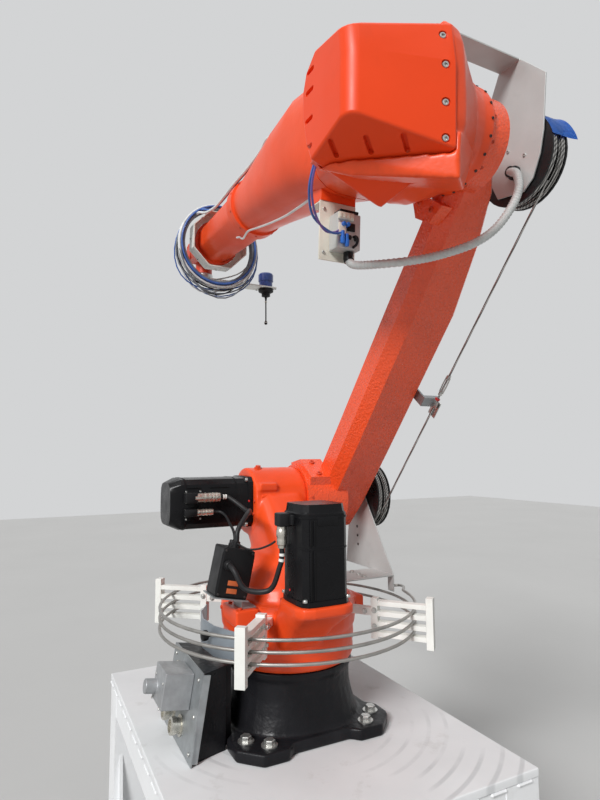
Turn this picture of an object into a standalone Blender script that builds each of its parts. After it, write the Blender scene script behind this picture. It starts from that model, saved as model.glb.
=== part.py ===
"""Six-axis industrial robot arm on a welded steel stand, in metres, +Z up.

The floor is at Z 0. Each link of the robot is modelled in its own straight frame,
and the empties on the joint axes set the pose.
"""

import math

import bmesh
import bpy
from mathutils import Matrix, Vector

# Stand
STAND_LENGTH = 1.045
STAND_WIDTH = 0.80
STAND_HEIGHT = 0.80
STAND_PLATE = 0.020
STAND_AHEAD = 0.020
LEG_SIDE = 0.100
LEG_SPREAD = 0.100
FOOT_PLATE_SIDE = 0.150
FOOT_PLATE = 0.012
RAIL_DEPTH = 0.080
RAIL_WIDTH = 0.060
LOW_RAIL_HEIGHT = 0.170
LOW_RAIL_SIDE = 0.060
GUSSET = 0.010

# Place of the first axis over the floor, from the middle of the whole outline
AXIS_1_X = -0.090
AXIS_1_Y = 0.020

# Arm proportions
AXIS_2_AHEAD = 0.200
AXIS_2_HEIGHT = 0.580
LINK_LENGTH = 1.136
AXIS_4_RISE = 0.073
FOREARM_LENGTH = 1.414
FLANGE_REACH = 0.115

# Pose in degrees: lean of the link arm back from upright, rise of the forearm from level
LINK_LEAN = 40.5
FOREARM_RISE = 4.1
TOOL_DROP = 90.0

# Clearances
SEAT_GAP = 0.0003
RUNNING_GAP = 0.0005

# Base casting
FOOT_HALF = 0.218
FOOT_CORNER = 0.165
FOOT_WAIST = 0.197
FOOT_LOBE = 0.100
FOOT_THICKNESS = 0.028
BASE_HEIGHT = 0.172
BASE_RADIUS = 0.176
TERMINAL_HALF = 0.098
TERMINAL_NECK = 0.076
TERMINAL_OUT = 0.315
TERMINAL_HEIGHT = 0.200
TERMINAL_LEAN = 0.032
COVER_SHEET = 0.003
COVER_HALF = 0.140

# Turret
SKIRT_RADIUS = 0.190
SKIRT_TOP = 0.335
HUB_RADIUS = 0.102
HUB_RIGHT = 0.115
HUB_LEFT = 0.058
MOTOR_1_BACK = 0.250
MOTOR_1_LEFT = 0.045
MOTOR_1_SIDE = 0.125
BOSS_TOP = 0.336
MOTOR_1_LENGTH = 0.232
MOTOR_PAD_HEIGHT = 0.372
MOTOR_2_SIDE = 0.150
MOTOR_2_LENGTH = 0.250

# Lead ends on the plugs, and the junction box
PLUG_1 = (-0.240, MOTOR_1_LEFT + MOTOR_1_SIDE / 2 + 0.022, 0.500)
PLUG_2 = (0.110, 0.170, 0.600)
SIGNAL_PLUG = (0.112, 0.190, 0.558)
LEAD_RADIUS = 0.0065
LEAD_GAP = 0.0008
JUNCTION_AT = (-0.090, 0.205, 0.4265)
JUNCTION_SIZE = (0.075, 0.085, 0.120)
JUNCTION_TILT = 12.0

# Cable guide round the turret
CABLE_RADIUS = 0.0045
CABLE_RING = 0.355
CABLE_START = 256.0
COMB_ANGLES = (50.0, 140.0, 220.0, 320.0)
COMB_LOW = 0.250
COMB_OUT = 0.400
COMB_REACH = 0.145
COMB_POST = 0.018
COMB_WIDTH = 0.024
GUIDE_RADIUS = 0.246
GUIDE_TOP = 0.288
GUIDE_HEIGHT = 0.075
GUIDE_SHEET = 0.003
COMB_FINGER = 0.012
COMB_PITCH = 0.0265

# Link arm
LINK_IN = 0.192
LINK_OUT = 0.355
LINK_TOP_OUT = 0.248
LINK_FRONT = 0.034
LINK_BACK = 0.069
LINK_HEAD = 0.106
LINK_FOOT = 0.110
LINK_FOOT_OUT = 0.260
CHAMFER_BACK = 0.033
CHAMFER_IN = 0.028
CLAMP_HEIGHT = 0.470

# Reels and wire
REEL_RADIUS = 0.110
REEL_WIDTH = 0.050
REEL_DEPTH = 0.012
REEL_OFFSET = 0.402
REEL_PLATE = 0.370
REEL_SHEET = 0.004
LOWER_SHELF_DROP = 0.240
UPPER_STRAP_RISE = 0.252
WIRE_RADIUS = 0.003

# Elbow
KNUCKLE_RADIUS = 0.117
KNUCKLE_RIGHT = 0.190
KNUCKLE_STEP = 0.025
HOUSING_FRONT = 0.200
HOUSING_PAD_TOP = 0.205
COVER_SEAM = -0.010
COVER_SIDE = 0.195
COVER_BACK = 0.190
COVER_TOP = 0.094
COVER_BOTTOM = 0.158
RIDGE_BACK = 0.130
DRAFT = 0.050
TOP_LEAN = 0.100
CASTING_END = 0.800
WRIST_REACH = 0.132
TUBE_END = FOREARM_LENGTH - WRIST_REACH
TUBE_RADIUS = 0.088
COLLAR_RADIUS = 0.092
COLLAR_LENGTH = 0.052

# Hoses and valves on the forearm
HOOD_RADIUS = 0.122
HOOD_LENGTH = 0.065
HOOD_PLATE = 0.006
LOOP_RADIUS = 0.150
HOSE_RADIUS = 0.006
HOSE_TURNS = 3
HOSE_PITCH = 0.014
VALVE_AHEAD = 0.253
VALVE_PAD_DROP = 0.104
VALVE_BOTTOM = -0.232
CONDUIT_RADIUS = 0.0105

# Wrist and tool
WRIST_RADIUS = 0.078
WRIST_BLOCK = 0.084
FLANGE_THICKNESS = 0.020
PROBE_OFFSET = 0.300
PROBE_RADIUS = 0.035

for old in list(bpy.data.objects):
    bpy.data.objects.remove(old, do_unlink=True)

robot = bpy.data.collections.new("industrial_robot_arm")
cutters = bpy.data.collections.new("cutters")
bpy.context.scene.collection.children.link(robot)
bpy.context.scene.collection.children.link(cutters)


def material(name, colour, roughness, metallic=0.0):
    mat = bpy.data.materials.new(name)
    mat.use_nodes = True
    shader = mat.node_tree.nodes["Principled BSDF"]
    shader.inputs["Base Color"].default_value = (*colour, 1.0)
    shader.inputs["Roughness"].default_value = roughness
    shader.inputs["Metallic"].default_value = metallic
    return mat


ORANGE = (0.80, 0.085, 0.015)
BLACK = (0.012, 0.012, 0.014)
WHITE_PAINT = (0.74, 0.76, 0.78)
STEEL = (0.46, 0.46, 0.44)
NICKEL = (0.55, 0.53, 0.47)
WHITE_PLASTIC = (0.82, 0.82, 0.78)


def empty(name, parent, place, turn_y=0.0):
    """A joint's frame: an empty on the joint axis."""
    axis = bpy.data.objects.new(name, None)
    axis.empty_display_size = 0.1
    robot.objects.link(axis)
    axis.parent = parent
    axis.location = place
    axis.rotation_euler = (0.0, math.radians(turn_y), 0.0)
    return axis


mounting_face = empty("mounting_face", None, (AXIS_1_X, AXIS_1_Y, STAND_HEIGHT))
axis_1 = empty("axis_1", mounting_face, (0, 0, 0))
axis_2 = empty("axis_2", axis_1, (AXIS_2_AHEAD, 0, AXIS_2_HEIGHT), -LINK_LEAN)
axis_3 = empty("axis_3", axis_2, (0, 0, LINK_LENGTH), LINK_LEAN - FOREARM_RISE)
axis_4 = empty("axis_4", axis_3, (0, 0, AXIS_4_RISE))
axis_5 = empty("axis_5", axis_4, (FOREARM_LENGTH, 0, 0), TOOL_DROP + FOREARM_RISE)
axis_6 = empty("axis_6", axis_5, (0, 0, 0))


def place(name, mesh, frame, at=(0, 0, 0), turn=(0, 0, 0), into=robot):
    """Makes a mesh an object in a joint's frame."""
    obj = bpy.data.objects.new(name, mesh)
    into.objects.link(obj)
    obj.parent = frame
    obj.location = at
    obj.rotation_euler = [math.radians(a) for a in turn]
    return obj


def to_mesh(name, bm):
    mesh = bpy.data.meshes.new(name)
    bm.to_mesh(mesh)
    bm.free()
    return mesh


def box(name, size, frame, at, turn=(0, 0, 0), into=robot):
    bm = bmesh.new()
    bmesh.ops.create_cube(bm, size=1.0)
    bmesh.ops.scale(bm, vec=size, verts=bm.verts)
    return place(name, to_mesh(name, bm), frame, at, turn, into)


def cylinder(name, radius, length, frame, at, along="Z", sides=32, top=None, into=robot):
    """A cylinder, or a cone when top is given, centred on at."""
    bm = bmesh.new()
    bmesh.ops.create_cone(
        bm, cap_ends=True, segments=sides, radius1=radius,
        radius2=radius if top is None else top, depth=length,
    )
    swing = {"X": Matrix.Rotation(math.pi / 2, 3, "Y"),
             "Y": Matrix.Rotation(-math.pi / 2, 3, "X"),
             "Z": Matrix.Identity(3)}[along]
    bmesh.ops.rotate(bm, matrix=swing, verts=bm.verts)
    return place(name, to_mesh(name, bm), frame, at, into=into)


def rounded(corners, radius, steps=4):
    """An outline with each corner replaced by an arc."""
    points = []
    count = len(corners)
    for i, corner in enumerate(corners):
        here = Vector(corner)
        back = (Vector(corners[i - 1]) - here).normalized()
        ahead = (Vector(corners[(i + 1) % count]) - here).normalized()
        half = math.acos(max(-1.0, min(1.0, back.dot(ahead)))) / 2
        reach = radius / math.tan(half)
        middle = here + (back + ahead).normalized() * radius / math.sin(half)
        start = here + back * reach - middle
        end = here + ahead * reach - middle
        sweep = math.atan2(start.x * end.y - start.y * end.x, start.dot(end))
        for s in range(steps + 1):
            a = sweep * s / steps
            points.append((middle.x + start.x * math.cos(a) - start.y * math.sin(a),
                           middle.y + start.x * math.sin(a) + start.y * math.cos(a)))
    return points


def slab(name, outline, thickness, frame, at, turn=(0, 0, 0), into=robot):
    """A flat outline in XY, extruded to a thickness centred on at."""
    curve = bpy.data.curves.new(name, "CURVE")
    curve.dimensions = "2D"
    curve.fill_mode = "BOTH"
    curve.extrude = thickness / 2
    spline = curve.splines.new("POLY")
    spline.points.add(len(outline) - 1)
    for point, (x, y) in zip(spline.points, outline):
        point.co = (x, y, 0.0, 1.0)
    spline.use_cyclic_u = True
    drawn = bpy.data.objects.new(name + "_outline", curve)
    cutters.objects.link(drawn)
    mesh = bpy.data.meshes.new_from_object(drawn.evaluated_get(bpy.context.evaluated_depsgraph_get()))
    bpy.data.objects.remove(drawn, do_unlink=True)
    bm = bmesh.new()
    bm.from_mesh(mesh)
    bmesh.ops.remove_doubles(bm, verts=bm.verts, dist=0.00001)
    bmesh.ops.recalc_face_normals(bm, faces=bm.faces)
    bm.to_mesh(mesh)
    bm.free()
    return place(name, mesh, frame, at, turn, into)


def turned(name, profile, frame, at, along="Z", sides=32, into=robot):
    """A solid of revolution. The profile runs (radius, height) down its outer side, top to bottom."""
    bm = bmesh.new()
    line = [bm.verts.new((r, 0.0, z)) for r, z in profile]
    for a, b in zip(line, line[1:]):
        bm.edges.new((a, b))
    turn = {"X": (0, 90, 0), "Y": (-90, 0, 0), "Z": (0, 0, 0)}[along]
    obj = place(name, to_mesh(name, bm), frame, at, turn, into)
    screw = obj.modifiers.new("turning", "SCREW")
    screw.axis = "Z"
    screw.steps = sides
    screw.render_steps = sides
    screw.use_merge_vertices = True
    screw.merge_threshold = 0.00001
    return obj


def loft(name, sections, frame, into=robot):
    """Bridges closed rings of XYZ points, one after another, and caps both ends."""
    bm = bmesh.new()
    loops = []
    for section in sections:
        ring = [bm.verts.new(p) for p in section]
        loops.append([bm.edges.new((ring[i - 1], ring[i])) for i in range(len(ring))])
    for low, high in zip(loops, loops[1:]):
        bmesh.ops.bridge_loops(bm, edges=low + high)
    bmesh.ops.holes_fill(bm, edges=loops[0] + loops[-1], sides=0)
    bmesh.ops.recalc_face_normals(bm, faces=bm.faces)
    return place(name, to_mesh(name, bm), frame, into=into)


def hull(name, points, frame, turn=(0, 0, 0), into=robot):
    """The smallest convex solid round some corner points, with flat faces made whole."""
    bm = bmesh.new()
    for p in points:
        bm.verts.new(p)
    made = bmesh.ops.convex_hull(bm, input=bm.verts)
    inside = [v for v in made["geom_interior"] if isinstance(v, bmesh.types.BMVert)]
    bmesh.ops.delete(bm, geom=inside, context="VERTS")
    bmesh.ops.dissolve_limit(bm, angle_limit=math.radians(0.2), verts=bm.verts, edges=bm.edges)
    bmesh.ops.recalc_face_normals(bm, faces=bm.faces)
    return place(name, to_mesh(name, bm), frame, (0, 0, 0), turn, into)


def soften(obj, chosen, width, segments):
    """Rounds the edges that the test picks, given both ends of an edge."""
    bm = bmesh.new()
    bm.from_mesh(obj.data)
    edges = [e for e in bm.edges if chosen(e.verts[0].co, e.verts[1].co)]
    bmesh.ops.bevel(bm, geom=edges, offset=width, offset_type="OFFSET", segments=segments,
                    profile=0.5, affect="EDGES", clamp_overlap=True)
    bm.to_mesh(obj.data)
    bm.free()
    return obj


def squarish(half_a, half_b, power, count=32):
    """A rounded rectangle as a superellipse: power 2 is an ellipse, and higher is squarer."""
    ring = []
    for i in range(count):
        t = math.tau * i / count
        c, s = math.cos(t), math.sin(t)
        size = (abs(c) ** power + abs(s) ** power) ** (-1.0 / power)
        ring.append((half_a * c * size, half_b * s * size))
    return ring


def tube(name, points, radius, frame, resolution=2, closed=False):
    """A round tube along points, with filled caps."""
    curve = bpy.data.curves.new(name, "CURVE")
    curve.dimensions = "3D"
    curve.bevel_depth = radius
    curve.bevel_resolution = resolution
    curve.use_fill_caps = True
    curve.use_path = False
    spline = curve.splines.new("POLY")
    spline.points.add(len(points) - 1)
    for point, p in zip(spline.points, points):
        point.co = (*p, 1.0)
    spline.use_cyclic_u = closed
    obj = bpy.data.objects.new(name, curve)
    robot.objects.link(obj)
    obj.parent = frame
    return obj


def smooth_route(stops, count):
    """Points at even steps of a Catmull-Rom curve through the stops."""
    stops = [Vector(s) for s in stops]
    path = [2 * stops[0] - stops[1], *stops, 2 * stops[-1] - stops[-2]]
    spans = len(stops) - 1
    route = []
    for k in range(count):
        t = spans * k / (count - 1)
        i = min(int(t), spans - 1)
        f = t - i
        a, b, c, d = path[i:i + 4]
        route.append(0.5 * (2 * b + (c - a) * f + (2 * a - 5 * b + 4 * c - d) * f ** 2
                            + (3 * b - a - 3 * c + d) * f ** 3))
    return route


def combine(target, piece, operation):
    """Adds a Boolean to target and puts its operand away with the cutters."""
    for held in list(piece.users_collection):
        held.objects.unlink(piece)
    cutters.objects.link(piece)
    piece.hide_render = True
    piece.display_type = "WIRE"
    boolean = target.modifiers.new(piece.name, "BOOLEAN")
    boolean.operation = operation
    boolean.solver = "EXACT"
    boolean.object = piece


def join(target, *pieces):
    for piece in pieces:
        combine(target, piece, "UNION")
    return target


def cut(target, *pieces):
    for piece in pieces:
        combine(target, piece, "DIFFERENCE")
    return target


def bevel(obj, width, segments=2, angle=35.0):
    rounding = obj.modifiers.new("rounding", "BEVEL")
    rounding.width = width
    rounding.segments = segments
    rounding.limit_method = "ANGLE"
    rounding.angle_limit = math.radians(angle)
    return obj


def paint(obj, colour, roughness, metallic=0.0):
    obj.data.materials.append(material(obj.name, colour, roughness, metallic))
    if obj.type == "MESH":
        obj.data.shade_smooth()
        obj.data.set_sharp_from_angle(angle=math.radians(35))
    return obj


def build_stand():
    """White welded table: a plate on a frame of box section with four gusseted legs."""
    centre_x = STAND_AHEAD
    top = box("stand_top", (STAND_LENGTH, STAND_WIDTH, STAND_PLATE), mounting_face,
              (centre_x, 0, -STAND_PLATE / 2))
    paint(top, WHITE_PAINT, 0.35)
    under = -STAND_PLATE - SEAT_GAP
    floor = -STAND_HEIGHT
    half_x = STAND_LENGTH / 2 - LEG_SIDE / 2 - 0.002
    half_y = STAND_WIDTH / 2 - LEG_SIDE / 2 - 0.002
    frame = box("stand_frame", (LEG_SIDE, LEG_SIDE, under - floor), mounting_face,
                (centre_x - half_x, -half_y, (under + floor) / 2))
    corners = [(sx, sy) for sx in (-1, 1) for sy in (-1, 1)]
    for sx, sy in corners:
        x = centre_x + sx * half_x
        y = sy * half_y
        if (sx, sy) != (-1, -1):
            join(frame, box("leg", (LEG_SIDE, LEG_SIDE, under - floor), mounting_face,
                            (x, y, (under + floor) / 2)))
        join(frame, box("foot_plate", (FOOT_PLATE_SIDE, FOOT_PLATE_SIDE, FOOT_PLATE), mounting_face,
                        (x - sx * 0.026, y - sy * 0.026, floor + FOOT_PLATE / 2)))
        inner = LEG_SIDE / 2 - 0.004
        spread = [(inner, 0.0), (inner + LEG_SPREAD, 0.0), (inner, 0.60)]
        foot_top = floor + FOOT_PLATE - 0.002
        for axis, turn in (("x", 0.0), ("y", 90.0)):
            side = sx if axis == "x" else sy
            outline = [(-side * u, v) for u, v in spread]
            at = (x, y + sy * (LEG_SIDE / 2 - 0.020), foot_top) if axis == "x" else \
                 (x + sx * (LEG_SIDE / 2 - 0.020), y, foot_top)
            join(frame, slab("gusset", outline, GUSSET, mounting_face, at, (90.0, 0.0, turn)))
    rail_z = under - RAIL_DEPTH / 2
    for sy in (-1, 1):
        join(frame, box("rail", (2 * half_x, RAIL_WIDTH, RAIL_DEPTH - 0.001), mounting_face,
                        (centre_x, sy * (half_y + LEG_SIDE / 2 - RAIL_WIDTH / 2 - 0.002), rail_z)))
        join(frame, box("low_rail", (2 * half_x, LOW_RAIL_SIDE, LOW_RAIL_SIDE), mounting_face,
                        (centre_x, sy * half_y, floor + LOW_RAIL_HEIGHT)))
    for sx in (-1, 1):
        join(frame, box("rail", (RAIL_WIDTH, 2 * half_y, RAIL_DEPTH), mounting_face,
                        (centre_x + sx * (half_x + LEG_SIDE / 2 - RAIL_WIDTH / 2 - 0.002), 0, rail_z)))
    join(frame, box("cross_rail", (RAIL_WIDTH, 2 * half_y, RAIL_DEPTH - 0.002), mounting_face,
                    (centre_x, 0, rail_z)))
    join(frame, box("low_cross_rail", (LOW_RAIL_SIDE, 2 * half_y, LOW_RAIL_SIDE - 0.002), mounting_face,
                    (centre_x, 0, floor + LOW_RAIL_HEIGHT)))
    paint(frame, WHITE_PAINT, 0.38)


def build_base():
    """Black cast foot with a lobe at each corner, and the terminal box on its side."""
    quarter = [(FOOT_HALF, -FOOT_CORNER), (FOOT_HALF, -FOOT_LOBE), (FOOT_WAIST, -FOOT_LOBE + 0.02),
               (FOOT_WAIST, FOOT_LOBE - 0.02), (FOOT_HALF, FOOT_LOBE), (FOOT_HALF, FOOT_CORNER)]
    outline = []
    for turn in range(4):
        c, s = math.cos(turn * math.pi / 2), math.sin(turn * math.pi / 2)
        outline += [(c * x - s * y, s * x + c * y) for x, y in quarter]
    casting = slab("base_casting", rounded(outline, 0.012, 2), FOOT_THICKNESS, mounting_face,
                   (0, 0, SEAT_GAP + FOOT_THICKNESS / 2))
    body = [(0.020, 0.182, 2.7), (0.040, 0.177, 2.5), (0.070, 0.170, 2.3), (0.105, 0.166, 2.1),
            (0.145, 0.168, 2.0), (BASE_HEIGHT - 0.012, BASE_RADIUS, 2.0), (BASE_HEIGHT, BASE_RADIUS, 2.0)]
    rings = [[(x, y, z) for x, y in squarish(half, half, power, 40)] for z, half, power in body]
    join(casting, loft("base_body", rings, mounting_face))
    paint(casting, BLACK, 0.5)

    inner = FOOT_HALF + RUNNING_GAP
    low, high = SEAT_GAP, TERMINAL_HEIGHT
    wide = TERMINAL_HALF + 0.030
    rings = [
        [(-TERMINAL_HALF, inner, low), (TERMINAL_HALF, inner, low), (wide, TERMINAL_OUT, low),
         (-wide, TERMINAL_OUT, low)],
        [(-TERMINAL_HALF, inner, high), (TERMINAL_HALF, inner, high),
         (wide, TERMINAL_OUT - TERMINAL_LEAN, high), (-wide, TERMINAL_OUT - TERMINAL_LEAN, high)],
    ]
    terminal = loft("terminal_box", rings, mounting_face)
    neck = FOOT_WAIST + SEAT_GAP
    join(terminal, box("terminal_neck", (2 * TERMINAL_NECK, inner + 0.020 - neck, high - low - 0.010),
                       mounting_face, (0, (inner + 0.020 + neck) / 2, (high + low) / 2 - 0.004)))
    paint(terminal, BLACK, 0.42)

    tilt = math.degrees(math.atan2(TERMINAL_LEAN, TERMINAL_HEIGHT))
    tall = TERMINAL_HEIGHT / math.cos(math.radians(tilt))
    skew = [(-COVER_HALF, -tall / 2), (COVER_HALF, -tall / 2), (COVER_HALF - 0.012, tall / 2),
            (-COVER_HALF + 0.012, tall / 2)]
    out = TERMINAL_OUT - TERMINAL_LEAN / 2 + (COVER_SHEET / 2 + SEAT_GAP) / math.cos(math.radians(tilt))
    middle = (0, out, low + TERMINAL_HEIGHT / 2 + 0.001)
    cover = slab("terminal_cover", skew, COVER_SHEET, mounting_face, middle, (90.0 + tilt, 0, 0))
    for side in (-1, 1):
        join(cover, box("cover_lip", (COVER_SHEET, 0.018, tall * 0.97), mounting_face,
                        (side * (COVER_HALF - 0.0078), out - 0.0075, middle[2]),
                        (tilt, 0, 0)))
    paint(cover, STEEL, 0.38, 0.9)

    lean = math.radians(tilt)
    outward = Vector((0, math.cos(lean), math.sin(lean)))
    upward = Vector((0, -math.sin(lean), math.cos(lean)))
    depth = 0.072
    face = Vector(middle) + outward * (COVER_SHEET / 2 + SEAT_GAP) + upward * 0.040 + Vector((-0.020, 0, 0))
    hood = box("connector_hood", (0.100, depth, 0.085), mounting_face, face + outward * depth / 2, (tilt, 0, 0))
    gland = face + outward * (depth + 0.012) + Vector((0.025, 0, 0)) - upward * 0.010
    socket = cylinder("hood_gland", 0.018, 0.034, mounting_face, gland, "Y", 12)
    socket.rotation_euler = (lean, 0, 0)
    join(hood, socket)
    paint(hood, (0.42, 0.43, 0.42), 0.5, 0.6)


def build_turret():
    """Orange casting that turns on the base and holds the second axis."""
    low = BASE_HEIGHT + RUNNING_GAP
    casting = turned("turret_casting", [
        (0.0, SKIRT_TOP), (SKIRT_RADIUS - 0.016, SKIRT_TOP), (SKIRT_RADIUS, 0.318), (SKIRT_RADIUS, 0.295),
        (0.187, 0.260), (0.180, 0.254), (0.180, 0.249), (0.183, 0.245), (0.183, 0.218), (0.178, 0.214),
        (0.178, 0.209), (0.181, 0.205), (0.181, 0.184), (BASE_RADIUS + 0.001, 0.180), (BASE_RADIUS, low),
        (0.0, low)], axis_1, (0, 0, 0), sides=42)
    sections = []
    for z, x, y, half_x, half_y, power in (
            (0.315, 0.0, 0.0, 0.160, 0.160, 2.2), (0.370, 0.020, -0.010, 0.150, 0.145, 2.8),
            (0.405, 0.045, -0.025, 0.142, 0.120, 3.2), (0.440, 0.075, -0.030, 0.136, 0.084, 3.6),
            (0.490, 0.120, -0.030, 0.126, 0.083, 4.0),
            (AXIS_2_HEIGHT + 0.020, AXIS_2_AHEAD - 0.010, -0.030, 0.098, 0.082, 4.5)):
        sections.append([(x + a, y + b, z) for a, b in squarish(half_x, half_y, power, 32)])
    join(casting, loft("turret_column", sections, axis_1))
    join(casting, cylinder("turret_hub", HUB_RADIUS, HUB_RIGHT + HUB_LEFT, axis_1,
                           (AXIS_2_AHEAD, (HUB_LEFT - HUB_RIGHT) / 2, AXIS_2_HEIGHT), "Y", 40))
    pad = []
    for z, x, half in ((0.235, -0.120, 0.055), (0.300, -0.185, 0.066),
                       (MOTOR_PAD_HEIGHT - 0.022, -MOTOR_1_BACK, 0.076),
                       (MOTOR_PAD_HEIGHT, -MOTOR_1_BACK, 0.076)):
        pad.append([(x + a, MOTOR_1_LEFT + b, z) for a, b in squarish(half, half, 5.0, 24)])
    join(casting, loft("motor_pad", pad, axis_1))
    join(casting, box("right_boss", (0.080, 0.045, 0.045), axis_1, (-0.050, -0.175, BOSS_TOP - 0.035)))
    for rise in (-0.020, 0.045):
        join(casting, box("hub_rib", (0.030, 0.060, 0.022), axis_1,
                          (AXIS_2_AHEAD - HUB_RADIUS + 0.012, 0.018, AXIS_2_HEIGHT + rise)))
    join(casting, box("left_boss", (0.110, 0.060, 0.045), axis_1, (-0.080, 0.175, BOSS_TOP - 0.0225)))
    paint(casting, ORANGE, 0.42)


def build_motors():
    """Square servo motors with nickel plugs, upright for axis 1 and level for axis 2."""
    low = MOTOR_PAD_HEIGHT + SEAT_GAP
    rings = []
    for z, half in ((0.0, 1.05), (0.012, 1.05), (0.013, 1.0), (MOTOR_1_LENGTH - 0.022, 1.0),
                    (MOTOR_1_LENGTH - 0.018, 0.95), (MOTOR_1_LENGTH, 0.91)):
        side = half * MOTOR_1_SIDE / 2
        rings.append([(-MOTOR_1_BACK + a, MOTOR_1_LEFT + b, low + z) for a, b in squarish(side, side, 5.5, 28)])
    paint(loft("a1_motor", rings, axis_1), BLACK, 0.35)

    plug = box("a1_motor_plug", (0.036, 0.034, 0.030), axis_1, (PLUG_1[0], PLUG_1[1] - 0.005 + SEAT_GAP, PLUG_1[2] + 0.045))
    join(plug, cylinder("plug_sleeve", 0.013, 0.062, axis_1, (PLUG_1[0], PLUG_1[1], PLUG_1[2] + 0.031), "Z", 14))
    paint(plug, NICKEL, 0.35, 0.8)

    start = HUB_LEFT + SEAT_GAP
    rings = []
    for along, half, power in ((0.0, 1.03, 7.0), (0.016, 1.03, 7.0), (0.017, 1.0, 5.0),
                               (MOTOR_2_LENGTH - 0.030, 1.0, 5.0), (MOTOR_2_LENGTH, 0.82, 4.0)):
        side = half * MOTOR_2_SIDE / 2
        rings.append([(AXIS_2_AHEAD + a, start + along, AXIS_2_HEIGHT + b)
                      for a, b in squarish(side, side, power, 28)])
    paint(loft("a2_motor", rings, axis_1), BLACK, 0.35)

    for name, end, radius, length in (("a2_power_plug", PLUG_2, 0.013, 0.075),
                                      ("a2_signal_plug", SIGNAL_PLUG, 0.009, 0.055)):
        x, y, z = end
        deep = AXIS_2_AHEAD - MOTOR_2_SIDE / 2 - SEAT_GAP - x
        socket = box(name, (deep + 0.010, 0.034, radius * 2.2), axis_1,
                     (x + (deep - 0.010) / 2, y + length + 0.010, z))
        join(socket, cylinder(name + "_sleeve", radius, length, axis_1, (x, y + length / 2, z), "Y", 14))
        paint(socket, NICKEL, 0.35, 0.8)


def junction_up():
    """The junction box's own upward direction, as it leans towards the turret."""
    lean = math.radians(JUNCTION_TILT)
    return Vector((0, -math.sin(lean), math.cos(lean)))


def build_leads():
    """Motor leads, from the plugs to the junction box."""
    x, y, z = PLUG_1
    first = smooth_route([
        (x, y, z - LEAD_GAP), (x, y, z - 0.020), (x + 0.004, y + 0.004, z - 0.045),
        (-0.215, 0.150, 0.400), (-0.185, 0.200, 0.400), (-0.168, 0.222, 0.440),
        (-0.145, 0.225, 0.450), (-0.1275 - LEAD_GAP, 0.225, 0.450)], 32)
    paint(tube("a1_motor_lead", first, LEAD_RADIUS, axis_1), BLACK, 0.6)
    x, y, z = PLUG_2
    up = junction_up()
    lid = Vector(JUNCTION_AT) + up * JUNCTION_SIZE[2] / 2
    second = smooth_route([
        (x, y - LEAD_GAP, z), (x, y - 0.012, z), (x - 0.004, y - 0.026, z - 0.002),
        (x - 0.024, y - 0.045, z - 0.018), (0.040, 0.105, 0.558), (-0.015, 0.125, 0.568),
        (-0.060, 0.152, 0.560), lid + up * 0.044 + Vector((0.006, 0, 0)), lid + up * 0.018,
        lid + up * LEAD_GAP], 37)
    paint(tube("a2_motor_lead", second, LEAD_RADIUS, axis_1), BLACK, 0.6)


def build_junction():
    """Small black junction box on a steel bracket over the turret's left boss."""
    width, depth, height = JUNCTION_SIZE
    tilt = (JUNCTION_TILT, 0, 0)
    paint(bevel(box("junction_box", JUNCTION_SIZE, axis_1, JUNCTION_AT, tilt), 0.004), BLACK, 0.45)
    sheet = 0.003
    under = Vector(JUNCTION_AT) - junction_up() * (height / 2 + SEAT_GAP + sheet / 2)
    bracket = box("junction_bracket", (width + 0.010, depth + 0.010, sheet), axis_1, under, tilt)
    foot = BOSS_TOP + SEAT_GAP
    leg_y = under.y - 0.033
    leg = under.z - 0.033 * math.tan(math.radians(JUNCTION_TILT)) - foot
    join(bracket, box("bracket_leg", (0.060, sheet, leg), axis_1, (under.x, leg_y, foot + leg / 2)))
    join(bracket, box("bracket_foot", (0.060, 0.040, sheet), axis_1, (under.x, leg_y - 0.0185, foot + sheet / 2)))
    paint(bracket, STEEL, 0.4, 0.9)


def finger_height(k):
    return COMB_LOW + k * COMB_PITCH


def build_combs():
    """White comb holders, one every quarter turn, that carry the cable's turns on their fingers."""
    out = COMB_OUT
    inner = out - COMB_REACH
    middle = (finger_height(0) + finger_height(3)) / 2
    tall = 3 * COMB_PITCH + COMB_FINGER + 0.036
    for number, angle in enumerate(COMB_ANGLES, 1):
        pivot = bpy.data.objects.new("comb_frame_%d" % number, None)
        robot.objects.link(pivot)
        pivot.parent = axis_1
        pivot.rotation_euler = (0, 0, math.radians(angle))
        comb = box("cable_comb_%d" % number, (COMB_POST, COMB_WIDTH, tall), pivot, (out, 0, middle))
        join(comb, box("comb_back", (COMB_POST, COMB_WIDTH, tall - 0.024), pivot, (inner, 0, middle)))
        for k in range(4):
            join(comb, box("comb_finger", (COMB_REACH, COMB_WIDTH - 0.002, COMB_FINGER), pivot,
                           ((out + inner) / 2, 0, finger_height(k))))
        start = SKIRT_RADIUS + SEAT_GAP
        end = inner
        join(comb, box("comb_arm", (end - start, COMB_WIDTH * 0.8, 0.020), pivot,
                       ((end + start) / 2, 0, 0.3065)))
        paint(comb, WHITE_PLASTIC, 0.5)

    arm_half = COMB_WIDTH * 0.4 + SEAT_GAP
    clear = math.degrees(math.asin(arm_half / GUIDE_RADIUS))
    first, last = COMB_ANGLES[0] + clear, COMB_ANGLES[1] - clear
    bends = [math.radians(first + (last - first) * k / 5) for k in range(6)]
    outline = [(GUIDE_RADIUS * math.cos(a), GUIDE_RADIUS * math.sin(a)) for a in bends]
    back = GUIDE_RADIUS - GUIDE_SHEET
    outline += [(back * math.cos(a), back * math.sin(a)) for a in reversed(bends)]
    plate = slab("guide_plate", outline, GUIDE_HEIGHT, axis_1, (0, 0, GUIDE_TOP - GUIDE_HEIGHT / 2))
    paint(plate, (0.42, 0.46, 0.50), 0.4, 0.7)


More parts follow.
